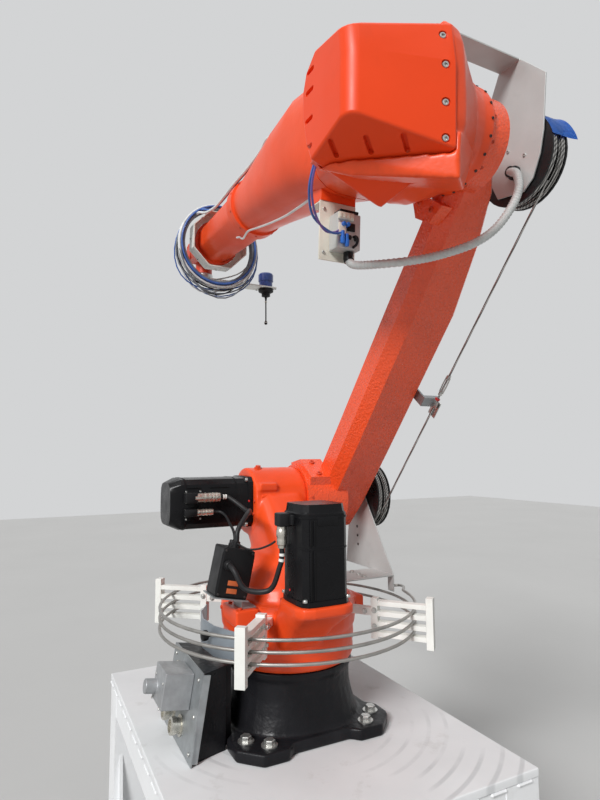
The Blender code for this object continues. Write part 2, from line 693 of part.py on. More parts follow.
def cable_height(travel):
    """The cable lies level on the combs' fingers and steps down between the last comb and the first."""
    over = COMB_FINGER / 2 + SEAT_GAP + CABLE_RADIUS
    turns, part = divmod(travel, 360.0)
    step = min(1.0, max(0.0, (part - 225.0) / 60.0))
    ease = step * step * (3 - 2 * step)
    return finger_height(2) + over - COMB_PITCH * (turns + ease)


def build_cable():
    """Steel wire that leaves the lower reel's bracket and lies in three turns round the turret."""
    sheet = REEL_SHEET
    start_y = -REEL_PLATE - sheet - SEAT_GAP
    top = cable_height(0)
    route = smooth_route([
        (0.020, start_y, 0.306), (0.018, start_y - 0.012, 0.306), (0.004, start_y - 0.020, 0.308),
        (-0.030, start_y - 0.008, top - 0.002), (-0.070, -0.3495, top)], 14)
    for travel in range(0, 940, 12):
        a = math.radians(CABLE_START - travel)
        route.append(Vector((CABLE_RING * math.cos(a), CABLE_RING * math.sin(a), cable_height(travel))))
    paint(tube("turret_cable", route, CABLE_RADIUS, axis_1, 1), STEEL, 0.3, 0.9)


def reel(name, frame, at):
    """A flanged drum full of wound wire."""
    half = REEL_WIDTH / 2
    core = REEL_RADIUS - REEL_DEPTH
    obj = turned(name, [(0.0, half), (REEL_RADIUS, half), (REEL_RADIUS, half - 0.004), (core, half - 0.005),
                        (core, 0.005 - half), (REEL_RADIUS, 0.004 - half), (REEL_RADIUS, -half), (0.0, -half)],
                 frame, at, "Y", 36)
    return paint(obj, BLACK, 0.4)


def build_link_arm():
    """Tapered cast link with a chamfer down its inner back edge and a disc at each axis."""
    sections = []
    for z, front, back, outer in (
            (-0.118, 0.020, -0.035, -LINK_OUT + 0.030), (-0.085, 0.040, -0.056, -LINK_OUT + 0.004),
            (0.020, LINK_FRONT + 0.010, -0.064, -LINK_OUT), (0.25 * LINK_LENGTH, LINK_FRONT + 0.004, -LINK_BACK, -LINK_OUT),
            (0.65 * LINK_LENGTH, LINK_FRONT, -LINK_BACK - 0.004, -LINK_OUT),
            (0.82 * LINK_LENGTH, LINK_FRONT - 0.003, -LINK_BACK + 0.004, -LINK_OUT + 0.020),
            (0.93 * LINK_LENGTH, LINK_FRONT - 0.005, -LINK_BACK + 0.014, -LINK_OUT + 0.042),
            (LINK_LENGTH + 0.020, LINK_FRONT - 0.002, -LINK_BACK + 0.022, -LINK_TOP_OUT - 0.016),
            (LINK_LENGTH + 0.080, 0.020, -0.036, -LINK_TOP_OUT)):
        corner = 0.014
        sections.append([
            (front - corner, -LINK_IN, z), (back + CHAMFER_BACK, -LINK_IN, z), (back, -LINK_IN - CHAMFER_IN, z),
            (back, outer + corner, z), (back + corner, outer, z), (front - corner, outer, z),
            (front, outer + corner, z), (front, -LINK_IN - corner, z)])
    arm = loft("link_arm", sections, axis_2)
    inner = -(HUB_RIGHT + RUNNING_GAP)
    join(arm, cylinder("link_foot", LINK_FOOT, LINK_FOOT_OUT + inner, axis_2,
                       (0, (inner - LINK_FOOT_OUT) / 2, 0), "Y", 40))
    start = -(KNUCKLE_RIGHT + RUNNING_GAP)
    join(arm, cylinder("link_head", LINK_HEAD, LINK_TOP_OUT - 0.004 + start, axis_2,
                       (0, (start + 0.004 - LINK_TOP_OUT) / 2, LINK_LENGTH), "Y", 40))
    lug = [(x, y, z) for x, z in ((-0.055, 0.080), (-0.035, 0.124), (0.060, 0.116), (0.104, 0.064), (0.060, 0.020))
           for y in (inner - 0.010, -LINK_IN - 0.010)]
    join(arm, hull("foot_lug", lug, axis_2))
    drop = LINK_LENGTH - KNUCKLE_RADIUS - 0.010
    lug = [(x, y, drop - down) for x, down in ((-0.062, 0.004), (0.050, 0.004), (0.058, 0.030), (0.020, 0.062), (-0.040, 0.055))
           for y in (-KNUCKLE_RIGHT + 0.020, -LINK_IN - 0.010)]
    join(arm, hull("head_lug", lug, axis_2))
    paint(arm, ORANGE, 0.45)

    side = -(REEL_RADIUS - REEL_DEPTH + WIRE_RADIUS + RUNNING_GAP)
    wire = tube("wire_rope", [(side, -REEL_OFFSET, 0.012), (side, -REEL_OFFSET, LINK_LENGTH - 0.012)],
                WIRE_RADIUS, axis_2, 1)
    paint(wire, STEEL, 0.35, 0.9)
    clamp_out = -REEL_OFFSET - 0.010
    clamp_in = -LINK_OUT - SEAT_GAP
    clamp = box("wire_clamp", (0.014, clamp_in - clamp_out, 0.030), axis_2,
                (side + WIRE_RADIUS + SEAT_GAP + 0.007, (clamp_in + clamp_out) / 2, CLAMP_HEIGHT))
    join(clamp, box("clamp_foot", (0.070, 0.006, 0.030), axis_2, (side + 0.040, clamp_in - 0.003, CLAMP_HEIGHT)))
    paint(clamp, STEEL, 0.4, 0.9)


def build_reels():
    """Lower and upper wire reels, each outside a bent plate on its link's axis."""
    sheet = REEL_SHEET
    plate_y = -REEL_PLATE - sheet / 2
    reel("lower_reel", axis_1, (AXIS_2_AHEAD, -REEL_OFFSET, AXIS_2_HEIGHT))
    outline = [(-0.193, -LOWER_SHELF_DROP), (0.090, -LOWER_SHELF_DROP), (0.060, -0.020), (0.030, 0.030),
               (-0.025, 0.030), (-0.035, 0.0)]
    bracket = slab("lower_reel_bracket", outline, sheet, axis_1,
                   (AXIS_2_AHEAD, plate_y, AXIS_2_HEIGHT), (90.0, 0, 0))
    boss = -REEL_OFFSET + REEL_WIDTH / 2 + SEAT_GAP
    join(bracket, cylinder("reel_shaft", 0.022, boss - plate_y, axis_1,
                           (AXIS_2_AHEAD, (boss + plate_y) / 2, AXIS_2_HEIGHT), "Y", 20))
    shelf_z = AXIS_2_HEIGHT - LOWER_SHELF_DROP
    inner_y = -SKIRT_RADIUS - SEAT_GAP - sheet / 2
    join(bracket, box("reel_shelf", (0.120, inner_y - plate_y + sheet, sheet), axis_1,
                      (0.067, (plate_y + inner_y) / 2, shelf_z)))
    join(bracket, box("shelf_lip", (0.030, sheet, 0.050), axis_1, (0.022, plate_y, shelf_z - 0.025)))
    join(bracket, box("shelf_leg", (0.050, sheet, 0.075), axis_1, (0.032, inner_y, shelf_z - 0.0375)))
    paint(bracket, (0.62, 0.63, 0.62), 0.3, 0.9)

    reel("upper_reel", axis_3, (0, -REEL_OFFSET, 0))
    outline = [(-0.093, 0.174), (-0.088, 0.040), (-0.079, -0.013), (-0.059, -0.065), (-0.031, -0.089),
               (0.050, -0.080), (0.092, 0.0), (0.092, 0.160), (0.050, UPPER_STRAP_RISE), (-0.015, UPPER_STRAP_RISE)]
    bracket = slab("upper_reel_bracket", outline, sheet, axis_3, (0, plate_y, 0), (90.0, 0, 0))
    join(bracket, cylinder("reel_shaft", 0.022, boss - plate_y, axis_3, (0, (boss + plate_y) / 2, 0), "Y", 20))
    strap_in = -0.112
    join(bracket, box("strap", (0.065, strap_in - plate_y, sheet), axis_3,
                      (0.0175, (plate_y + strap_in) / 2, UPPER_STRAP_RISE - sheet / 2)))
    foot = HOUSING_PAD_TOP + SEAT_GAP
    join(bracket, box("strap_leg", (0.065, sheet, UPPER_STRAP_RISE - foot), axis_3,
                      (0.0175, strap_in, (UPPER_STRAP_RISE + foot) / 2)))
    paint(bracket, STEEL, 0.4, 0.9)


def cover_corners(swell=1.0, gap=SEAT_GAP):
    """Corners of the moulded cover: its seam with the casting, then its outer end."""
    crease, ridge = 0.010, 0.014
    low, ridge_low, ridge_top = -COVER_BOTTOM, -0.102, 0.066
    back, side_back = -COVER_BACK + DRAFT * low, -RIDGE_BACK + DRAFT * ridge_low
    seam = [(back - DRAFT * crease + TOP_LEAN * (COVER_TOP - crease), COVER_TOP), (back - DRAFT * crease, crease),
            (back - DRAFT * low, low), (0.060, low - 0.014), (0.060, COVER_TOP + 0.034)]
    side = [(side_back - DRAFT * ridge + TOP_LEAN * (ridge_top - ridge), ridge_top),
            (side_back - DRAFT * ridge, ridge), (side_back - DRAFT * ridge_low, ridge_low), (0.010, -0.130),
            (0.030, -0.086), (0.044, -0.020), (0.043, 0.032), (0.027, 0.068), (-0.013, 0.092)]
    corners = [(x * swell, COVER_SEAM + gap, z * swell) for x, z in seam]
    return corners + [(x * swell, COVER_SIDE, z * swell) for x, z in side]


def build_elbow():
    """Elbow casting, its moulded motor cover and the tapered forearm in front of it."""
    upright = (0, FOREARM_RISE, 0)
    round_end = KNUCKLE_STEP - KNUCKLE_RIGHT
    rings = []
    for y, x, z, half_x, half_z, power in (
            (round_end, 0.0, 0.0, KNUCKLE_RADIUS, KNUCKLE_RADIUS, 2.0),
            (-0.130, 0.0, -0.004, 0.124, 0.132, 2.3), (-0.080, -0.018, -0.010, 0.140, 0.148, 3.0),
            (-0.040, -0.038, -0.012, 0.148, 0.146, 4.5), (COVER_SEAM, -0.060, -0.010, 0.128, 0.140, 6.0)):
        rings.append([(x + a, y, z + b) for a, b in squarish(half_x, half_z, power, 36)])
    housing = loft("elbow_housing", rings, axis_3)
    housing.rotation_euler = [math.radians(a) for a in upright]
    join(housing, cylinder("knuckle_ring", KNUCKLE_RADIUS + 0.001, 2 * KNUCKLE_STEP, axis_3,
                           (0, KNUCKLE_STEP - KNUCKLE_RIGHT, 0), "Y", 44))
    rings = []
    for x, y, z, half_y, half_z, power in (
            (0.020, -0.030, 0.020, 0.120, 0.150, 4.0), (0.075, -0.010, 0.030, 0.140, 0.156, 3.8),
            (0.130, -0.020, 0.046, 0.134, 0.158, 3.6), (HOUSING_FRONT, -0.030, 0.061, 0.125, 0.152, 3.4)):
        rings.append([(x, y + a, z + b) for a, b in squarish(half_y, half_z, power, 32)])
    join(housing, loft("elbow_nose", rings, axis_3))
    belly = [(-COVER_BACK, -0.020, -0.120), (-COVER_BACK, COVER_SEAM, -0.150), (0.008, COVER_SIDE - 0.004, -0.118),
             (0.100, 0.150, -0.080), (0.100, -0.140, -0.060), (-0.120, -0.120, -0.100),
             (-COVER_BACK + 0.004, -0.016, -0.214), (-0.030, 0.128, -0.166), (0.018, 0.168, -0.140),
             (0.100, 0.130, -0.092), (0.100, -0.120, -0.100), (-0.090, -0.115, -0.172)]
    join(housing, hull("elbow_belly", belly, axis_3, upright))
    join(housing, box("bracket_pad", (0.080, 0.060, 0.060), axis_3, (0.018, -0.120, HOUSING_PAD_TOP - 0.030)))
    socket = hull("cover_space", cover_corners(1.0 + 6 * SEAT_GAP / COVER_TOP, -SEAT_GAP), axis_3, upright, cutters)
    cut(housing, socket)
    paint(housing, ORANGE, 0.42)

    cover = hull("elbow_cover", cover_corners(), axis_3, upright)
    ridge = COVER_SIDE - 0.001

    def on_ridge(a, b):
        return min(a.y, b.y) > ridge and max(a.x, b.x) < 0.006 - RIDGE_BACK

    soften(cover, on_ridge, 0.026, 4)
    paint(cover, ORANGE, 0.38)

    rings = []
    for x, y, z, half_y, half_z, power in (
            (HOUSING_FRONT + SEAT_GAP, -0.030, 0.061, 0.125, 0.152, 3.4),
            (0.330, -0.012, 0.079, 0.120, 0.140, 3.2), (0.450, -0.004, 0.077, 0.112, 0.124, 3.0),
            (0.620, 0.0, AXIS_4_RISE, 0.100, 0.104, 2.4), (CASTING_END - 0.030, 0.0, AXIS_4_RISE, 0.092, 0.092, 2.0),
            (CASTING_END - 0.028, 0.0, AXIS_4_RISE, 0.100, 0.100, 2.0),
            (CASTING_END, 0.0, AXIS_4_RISE, 0.100, 0.100, 2.0)):
        rings.append([(x, y + a, z + b) for a, b in squarish(half_y, half_z, power, 32)])
    casting = loft("forearm_casting", rings, axis_3)
    join(casting, box("valve_pad", (0.064, 0.100, 0.060), axis_3, (VALVE_AHEAD, 0.0, 0.030 - VALVE_PAD_DROP)))
    paint(casting, ORANGE, 0.42)

    rings = []
    low = CASTING_END + SEAT_GAP
    collar = TUBE_END - COLLAR_LENGTH
    for x, radius, flat in ((low, 0.100, 0), (low + 0.020, 0.100, 0), (low + 0.022, TUBE_RADIUS, 1),
                            (collar - 0.002, TUBE_RADIUS - 0.006, 1), (collar, COLLAR_RADIUS, 0),
                            (TUBE_END, COLLAR_RADIUS, 0)):
        ring = []
        for k in range(32):
            t = math.tau * (k + 0.5) / 32
            eighth = (t + math.pi / 8) % (math.pi / 4) - math.pi / 8
            r = radius / math.cos(eighth) * 0.96 if flat else radius
            ring.append((x, r * math.cos(t), AXIS_4_RISE + r * math.sin(t)))
        rings.append(ring)
    paint(loft("extension_tube", rings, axis_3), ORANGE, 0.42)


def build_elbow_fittings():
    """Valve plate and block under the forearm, and the conduit that loops back past the link arm."""
    top = -VALVE_PAD_DROP - SEAT_GAP
    rear = VALVE_AHEAD - 0.028
    plate = box("valve_plate", (0.004, 0.104, 0.150), axis_3, (rear, 0.0, top - 0.075))
    join(plate, box("valve_plate_foot", (0.058, 0.100, 0.004), axis_3, (VALVE_AHEAD, 0.0, top - 0.002)))
    paint(plate, (0.78, 0.76, 0.66), 0.5)
    ahead = rear - 0.002 - SEAT_GAP - 0.022
    block = box("valve_block", (0.044, 0.066, 0.090), axis_3, (ahead, -0.008, VALVE_BOTTOM + 0.045))
    paint(bevel(block, 0.003), (0.35, 0.36, 0.37), 0.4, 0.5)
    x, y, z = ahead, -0.020, VALVE_BOTTOM - LEAD_GAP
    hose = smooth_route([
        (x, y, z), (x, y, z - 0.009), (x, y, z - 0.018), (x - 0.022, y - 0.006, z - 0.036), (0.110, -0.050, -0.280),
        (0.045, -0.110, -0.277), (0.018, -0.170, -0.260), (-0.010, -0.235, -0.232), (-0.028, -0.285, -0.193),
        (-0.041, -0.322, -0.138), (-0.047, -0.338, -0.092), (-0.034, -0.344, -0.052),
        (-0.006, -0.354, -0.034), (-0.006, -0.362, -0.034), (-0.006, -REEL_PLATE + LEAD_GAP, -0.034)], 57)
    paint(tube("air_conduit", hose, CONDUIT_RADIUS, axis_3), (0.72, 0.74, 0.72), 0.6)


def build_hoses():
    """Pale bent hood round the tube's end, with the service hoses in loops over it."""
    end = TUBE_END - COLLAR_LENGTH + HOOD_PLATE + 0.004
    start = end - HOOD_LENGTH
    hood = []
    for x, radius in ((start, HOOD_RADIUS), (end, HOOD_RADIUS)):
        hood.append([(x, radius * math.cos(t), AXIS_4_RISE + radius * math.sin(t))
                     for t in (math.tau * (k + 0.5) / 8 for k in range(8))])
    ring = loft("hose_hood", hood, axis_3)
    inside = [[(x, 0.97 * y, AXIS_4_RISE + 0.97 * (z - AXIS_4_RISE)) for x, y, z in section] for section in hood]
    inside[0] = [(x - 0.010, y, z) for x, y, z in inside[0]]
    inside[1] = [(x - HOOD_PLATE, y, z) for x, y, z in inside[1]]
    cut(ring, loft("hood_space", inside, axis_3, cutters))
    bore = (COLLAR_RADIUS + SEAT_GAP) / math.cos(math.pi / 32)
    cut(ring, cylinder("hood_bore", bore, 0.060, axis_3, (end, 0, AXIS_4_RISE), "X", 32, into=cutters))
    paint(ring, (0.75, 0.75, 0.70), 0.4)

    count = 22
    route = []
    ridge_y, ridge_z = HOOD_RADIUS * math.sin(math.pi / 8), HOOD_RADIUS * math.cos(math.pi / 8)
    inside = LOOP_RADIUS * math.cos(math.pi / count) - 0.88 * HOSE_RADIUS - SEAT_GAP
    centre = AXIS_4_RISE + ridge_z - math.sqrt(inside ** 2 - ridge_y ** 2)
    for k in range(HOSE_TURNS * count + 1):
        a = math.tau * k / count
        route.append((start + 0.012 + HOSE_PITCH * k / count, LOOP_RADIUS * math.sin(a),
                      centre - LOOP_RADIUS * math.cos(a)))
    paint(tube("hose_loops", route, HOSE_RADIUS, axis_3, 1), (0.25, 0.27, 0.30), 0.5)


def build_wrist():
    """Forked wrist on axis 4, the block on axis 5 between its arms, and the flange on axis 6."""
    start = TUBE_END + RUNNING_GAP
    rings = []
    for x, half_y, half_z, power in ((start, WRIST_RADIUS, WRIST_RADIUS, 2.0),
                                     (start + 0.030, WRIST_RADIUS, WRIST_RADIUS, 2.2),
                                     (FOREARM_LENGTH - 0.060, 0.070, 0.058, 3.0),
                                     (FOREARM_LENGTH + 0.050, 0.068, 0.046, 3.0)):
        rings.append([(x, a, b) for a, b in squarish(half_y, half_z, power, 28)])
    housing = loft("wrist_housing", rings, axis_4)
    mouth = FOREARM_LENGTH - 0.078
    cut(housing, box("wrist_mouth", (0.200, WRIST_BLOCK + 2 * RUNNING_GAP, 0.300), axis_4,
                     (mouth + 0.100, 0, 0), into=cutters))
    paint(housing, ORANGE, 0.42)

    unit = cylinder("wrist_unit", 0.050, WRIST_BLOCK, axis_5, (0, 0, 0), "Y", 28)
    neck = FLANGE_REACH - FLANGE_THICKNESS - RUNNING_GAP
    join(unit, cylinder("wrist_neck", 0.036, neck, axis_5, (neck / 2, 0, 0), "X", 24))
    paint(unit, ORANGE, 0.42)

    back = FLANGE_REACH - FLANGE_THICKNESS
    flange = turned("tool_flange", [(0.0, FLANGE_REACH), (0.040, FLANGE_REACH), (0.040, back + 0.004),
                                    (0.036, back), (0.0, back)], axis_6, (0, 0, 0), "X", 28)
    paint(flange, STEEL, 0.3, 0.9)

    plate = 0.006
    plate_x = FLANGE_REACH + SEAT_GAP + plate / 2
    bracket = box("probe_bracket", (plate, PROBE_OFFSET + 0.080, 0.070), axis_6, (plate_x, -PROBE_OFFSET / 2, 0))
    paint(bracket, WHITE_PLASTIC, 0.4)
    base = plate_x - plate / 2 - SEAT_GAP
    tip = plate_x + plate / 2 + SEAT_GAP
    probe = turned("touch_probe", [
        (0.0, tip + 0.170), (0.007, tip + 0.166), (0.007, tip + 0.156), (0.003, tip + 0.150),
        (0.003, tip + 0.060), (0.006, tip + 0.038), (0.020, tip + 0.034), (0.020, tip + 0.020),
        (PROBE_RADIUS, tip + 0.012), (PROBE_RADIUS, tip), (0.0, tip)], axis_6,
        (0, -PROBE_OFFSET, 0), "X", 20)
    paint(probe, BLACK, 0.4)
    head = turned("probe_head", [
        (0.0, base), (PROBE_RADIUS - 0.004, base), (PROBE_RADIUS - 0.004, base - 0.027),
        (PROBE_RADIUS, base - 0.030), (PROBE_RADIUS, base - 0.060), (PROBE_RADIUS - 0.004, base - 0.066),
        (0.0, base - 0.066)], axis_6, (0, -PROBE_OFFSET, 0), "X", 20)
    paint(head, (0.02, 0.03, 0.12), 0.4)


build_stand()
build_base()
build_turret()
build_motors()
build_leads()
build_junction()
build_combs()
build_cable()
build_link_arm()
build_reels()
build_elbow()
build_elbow_fittings()
build_hoses()
build_wrist()
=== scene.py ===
import random
from math import copysign, cos, hypot, pi, radians, sin, sqrt, tau

import bmesh
import bpy
from mathutils import Matrix, Vector
from mathutils.bvhtree import BVHTree


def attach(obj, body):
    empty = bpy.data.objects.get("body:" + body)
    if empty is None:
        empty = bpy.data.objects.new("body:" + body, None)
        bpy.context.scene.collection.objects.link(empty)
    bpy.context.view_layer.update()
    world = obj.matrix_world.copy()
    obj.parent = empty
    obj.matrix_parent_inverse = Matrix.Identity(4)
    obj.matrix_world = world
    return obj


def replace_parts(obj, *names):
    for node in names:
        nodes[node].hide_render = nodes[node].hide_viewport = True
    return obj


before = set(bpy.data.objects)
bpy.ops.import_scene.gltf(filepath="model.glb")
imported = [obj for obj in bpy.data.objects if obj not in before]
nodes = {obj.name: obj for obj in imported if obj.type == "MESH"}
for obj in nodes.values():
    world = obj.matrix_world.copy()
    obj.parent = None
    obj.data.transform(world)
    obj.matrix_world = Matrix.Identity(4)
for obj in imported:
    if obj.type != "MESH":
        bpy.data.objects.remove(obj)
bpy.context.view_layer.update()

# The scene, and a fixed seed for the random draws
scene = bpy.context.scene
random.seed(7)

# Sizes that the CAD source sets too, in metres and degrees
ROBOT_FOOT = (-0.09, 0.02, 0.8)
HUB_X, HUB_Z = 0.2, 0.58
LINK_LENGTH, LINK_LEAN = 1.136, -40.5
RISE, FOREARM_LEAN = 0.073, 36.4
WRIST_X, WRIST_LEAN = 1.414, 94.1
STAND_MIDDLE_X, STAND_HALF = 0.02, (0.5225, 0.4)
PLUG_1 = (-0.24, 0.1295, 0.5)
PLUG_2 = (0.11, 0.17, 0.6)
JUNCTION_AT, JUNCTION_LEAN = (-0.09, 0.205, 0.4265), 12.0
JUNCTION_TOP = 0.06
REEL_OFFSET, REEL_CORE, REEL_HALF = 0.402, 0.098, 0.025
COMB_ANGLES = (50.0, 140.0, 220.0, 320.0)
COMB_LOW, COMB_PITCH, COMB_FINGER = 0.25, 0.0265, 0.012
CABLE_RADIUS, CABLE_RING, CABLE_START = 0.0045, 0.355, 256.0
TUBE_END = 1.282
HOOD_START, HOOD_RADIUS = 1.175, 0.122
FLANGE_FACE, PROBE_FACE, PROBE_Y = 0.1154, 0.1216, -0.3

# Camera, from the photograph's perspective, in metres, degrees and millimetres
CAMERA_AT = (-1.5594, 0.7127, 1.5204)
HEADING, PITCH, ROLL = -26.556, 5.697, -0.403
LENS, SENSOR = 24.9, 36.0

LEFT, RIGHT = (0, 1, 0), (0, -1, 0)
UP, DOWN = (0, 0, 1), (0, 0, -1)
AHEAD, BACK = (1, 0, 0), (-1, 0, 0)
SIDES = (-1, 1)
CORNERS = [(a, b) for a in SIDES for b in SIDES]


def moved(at):
    return Matrix.Translation(at)


def turned(degrees, axis):
    return Matrix.Rotation(radians(degrees), 4, axis)


def polar(degrees):
    return cos(radians(degrees)), sin(radians(degrees))


# Frames of the bodies at rest
AXIS_1 = moved(ROBOT_FOOT)
AXIS_2 = AXIS_1 @ moved((HUB_X, 0, HUB_Z)) @ turned(LINK_LEAN, "Y")
AXIS_3 = AXIS_2 @ moved((0, 0, LINK_LENGTH)) @ turned(FOREARM_LEAN, "Y")
AXIS_4 = AXIS_3 @ moved((0, 0, RISE))
AXIS_5 = AXIS_4 @ moved((WRIST_X, 0, 0)) @ turned(WRIST_LEAN, "Y")
FRAMES = {"base": AXIS_1, "turret": AXIS_1, "link_arm": AXIS_2, "forearm": AXIS_3,
          "wrist_roll": AXIS_4, "wrist_bend": AXIS_5, "tool": AXIS_5}


def make_camera():
    data = bpy.data.cameras.new("photo_camera")
    data.lens = LENS
    data.sensor_width = SENSOR
    data.clip_start = 0.05
    data.clip_end = 60.0
    turn = turned(HEADING - 90, "Z") @ turned(PITCH + 90, "X") @ turned(ROLL, "Z")
    camera = bpy.data.objects.new("photo_camera", data)
    camera.matrix_world = moved(CAMERA_AT) @ turn
    scene.collection.objects.link(camera)
    scene.camera = camera


def fill(node, values):
    """Sets a node's sockets."""
    for socket, value in values.items():
        node.inputs[socket].default_value = value
    return node


# Where a noise texture's values mostly lie
NOISE_LOW, NOISE_HIGH = 0.3, 0.7


class Shade:
    """A procedural material under construction."""

    def __init__(self, name):
        self.mat = bpy.data.materials.new(name)
        self.mat.use_nodes = True
        self.tree = self.mat.node_tree
        self.shader = self.tree.nodes["Principled BSDF"]
        self.place = self.tree.nodes.new("ShaderNodeMapping")
        coords = self.tree.nodes.new("ShaderNodeTexCoord")
        self.wire(coords.outputs["Object"], self.place.inputs["Vector"])

    def node(self, kind, values):
        return fill(self.tree.nodes.new(kind), values)

    def wire(self, a, b):
        self.tree.links.new(a, b)

    def noise(self, scale, detail=4.0, roughness=0.55):
        made = self.node("ShaderNodeTexNoise", {"Scale": scale, "Detail": detail, "Roughness": roughness})
        self.wire(self.place.outputs["Vector"], made.inputs["Vector"])
        return made.outputs["Fac"]

    def wave(self, scale, kind, along):
        made = self.node("ShaderNodeTexWave", {"Scale": scale})
        made.wave_type = kind
        if kind == "BANDS":
            made.bands_direction = along
        else:
            made.rings_direction = along
        self.wire(self.place.outputs["Vector"], made.inputs["Vector"])
        return made.outputs["Fac"]

    def ramp(self, value, low=NOISE_LOW, high=NOISE_HIGH, to_low=0.0, to_high=1.0):
        made = self.node("ShaderNodeMapRange", {"From Min": low, "From Max": high, "To Min": to_low,
                                                "To Max": to_high})
        self.wire(value, made.inputs["Value"])
        return made.outputs["Result"]

    def times(self, a, b):
        made = self.node("ShaderNodeMath", {})
        made.operation = "MULTIPLY"
        self.wire(a, made.inputs[0])
        self.wire(b, made.inputs[1])
        return made.outputs[0]

    def mix(self, factor, a, b):
        made = self.node("ShaderNodeMix", {})
        made.data_type = "RGBA"
        self.wire(factor, made.inputs[0])
        for end, socket in ((a, made.inputs[6]), (b, made.inputs[7])):
            if isinstance(end, tuple):
                socket.default_value = (*end, 1.0)
            else:
                self.wire(end, socket)
        return made.outputs[2]

    def bump(self, height, strength, distance):
        made = self.node("ShaderNodeBump", {"Strength": strength, "Distance": distance})
        self.wire(height, made.inputs["Height"])
        self.wire(made.outputs["Normal"], self.shader.inputs["Normal"])

    def dress(self, tone, gloss, smooth, rough, values):
        """Gives the shader its tone, its uneven gloss and its plain values."""
        self.wire(tone, self.shader.inputs["Base Color"])
        self.wire(self.ramp(gloss, to_low=smooth, to_high=rough), self.shader.inputs["Roughness"])
        fill(self.shader, values)


def surface(name, colour, roughness, metallic=0.0, mottle=0.15, patch=30.0, gloss=0.10, grain=0.2,
            grain_scale=260.0, dirt=None, coat=0.0, shine=0.5, depth=0.0005):
    """Paint, plastic or metal, uneven in tone and gloss, with a grain. Dirt is (amount, colour, scale)."""
    made = Shade(name)
    dark = tuple(c * (1 - mottle) for c in colour)
    light = tuple(min(1.0, c * (1 + mottle)) for c in colour)
    tone = made.mix(made.ramp(made.noise(patch)), dark, light)
    if dirt:
        amount, dirt_colour, dirt_scale = dirt
        spots = made.ramp(made.noise(dirt_scale, 8.0, 0.68), 0.56, 0.74, 0.0, amount)
        tone = made.mix(spots, tone, dirt_colour)
    made.dress(tone, made.noise(patch * 3.1, 6.0), roughness - gloss, roughness + gloss, {
        "Metallic": metallic, "Specular IOR Level": shine, "Coat Weight": coat, "Coat Roughness": 0.2})
    made.bump(made.noise(grain_scale, 2.0), grain, depth)
    return made.mat


def stand_paint():
    """White paint with faint grey arcs round the robot's foot and worn grey patches."""
    made = Shade("stand_white")
    fill(made.place, {"Location": (-ROBOT_FOOT[0], -ROBOT_FOOT[1], 0)})
    tone = made.mix(made.ramp(made.noise(3.0)), (0.70, 0.71, 0.72), (0.80, 0.81, 0.82))
    arcs = made.ramp(made.wave(7.0, "RINGS", "Z"), 0.78, 0.96, 0.0, 0.42)
    faint = made.times(arcs, made.ramp(made.noise(3.2, 5.0), 0.48, 0.62))
    tone = made.mix(faint, tone, (0.38, 0.39, 0.40))
    spots = made.ramp(made.noise(9.0, 6.0, 0.6), 0.60, 0.80, 0.0, 0.6)
    tone = made.mix(spots, tone, (0.36, 0.34, 0.31))
    made.dress(tone, made.noise(14.0, 6.0), 0.42, 0.62, {"Specular IOR Level": 0.3})
    made.bump(made.noise(120.0, 3.0), 0.15, 0.0006)
    return made.mat


def rope_steel():
    """Steel wire rope, with the lay of its strands as a slanted bump, and painted shade in the grooves
    between the strands.
    """
    made = Shade("rope_steel")
    strands = made.wave(60.0, "BANDS", "DIAGONAL")
    # Painted shade: the tone follows the strands' bump, darker in the grooves and lighter on the crests
    tone = made.mix(made.ramp(strands, 0.2, 0.8), (0.16, 0.155, 0.15), (0.50, 0.49, 0.47))
    made.dress(tone, made.noise(30.0), 0.25, 0.45, {"Metallic": 0.85})
    made.bump(strands, 0.5, 0.0006)
    return made.mat


COMBS = "cable_comb_1 cable_comb_2 cable_comb_3 cable_comb_4"

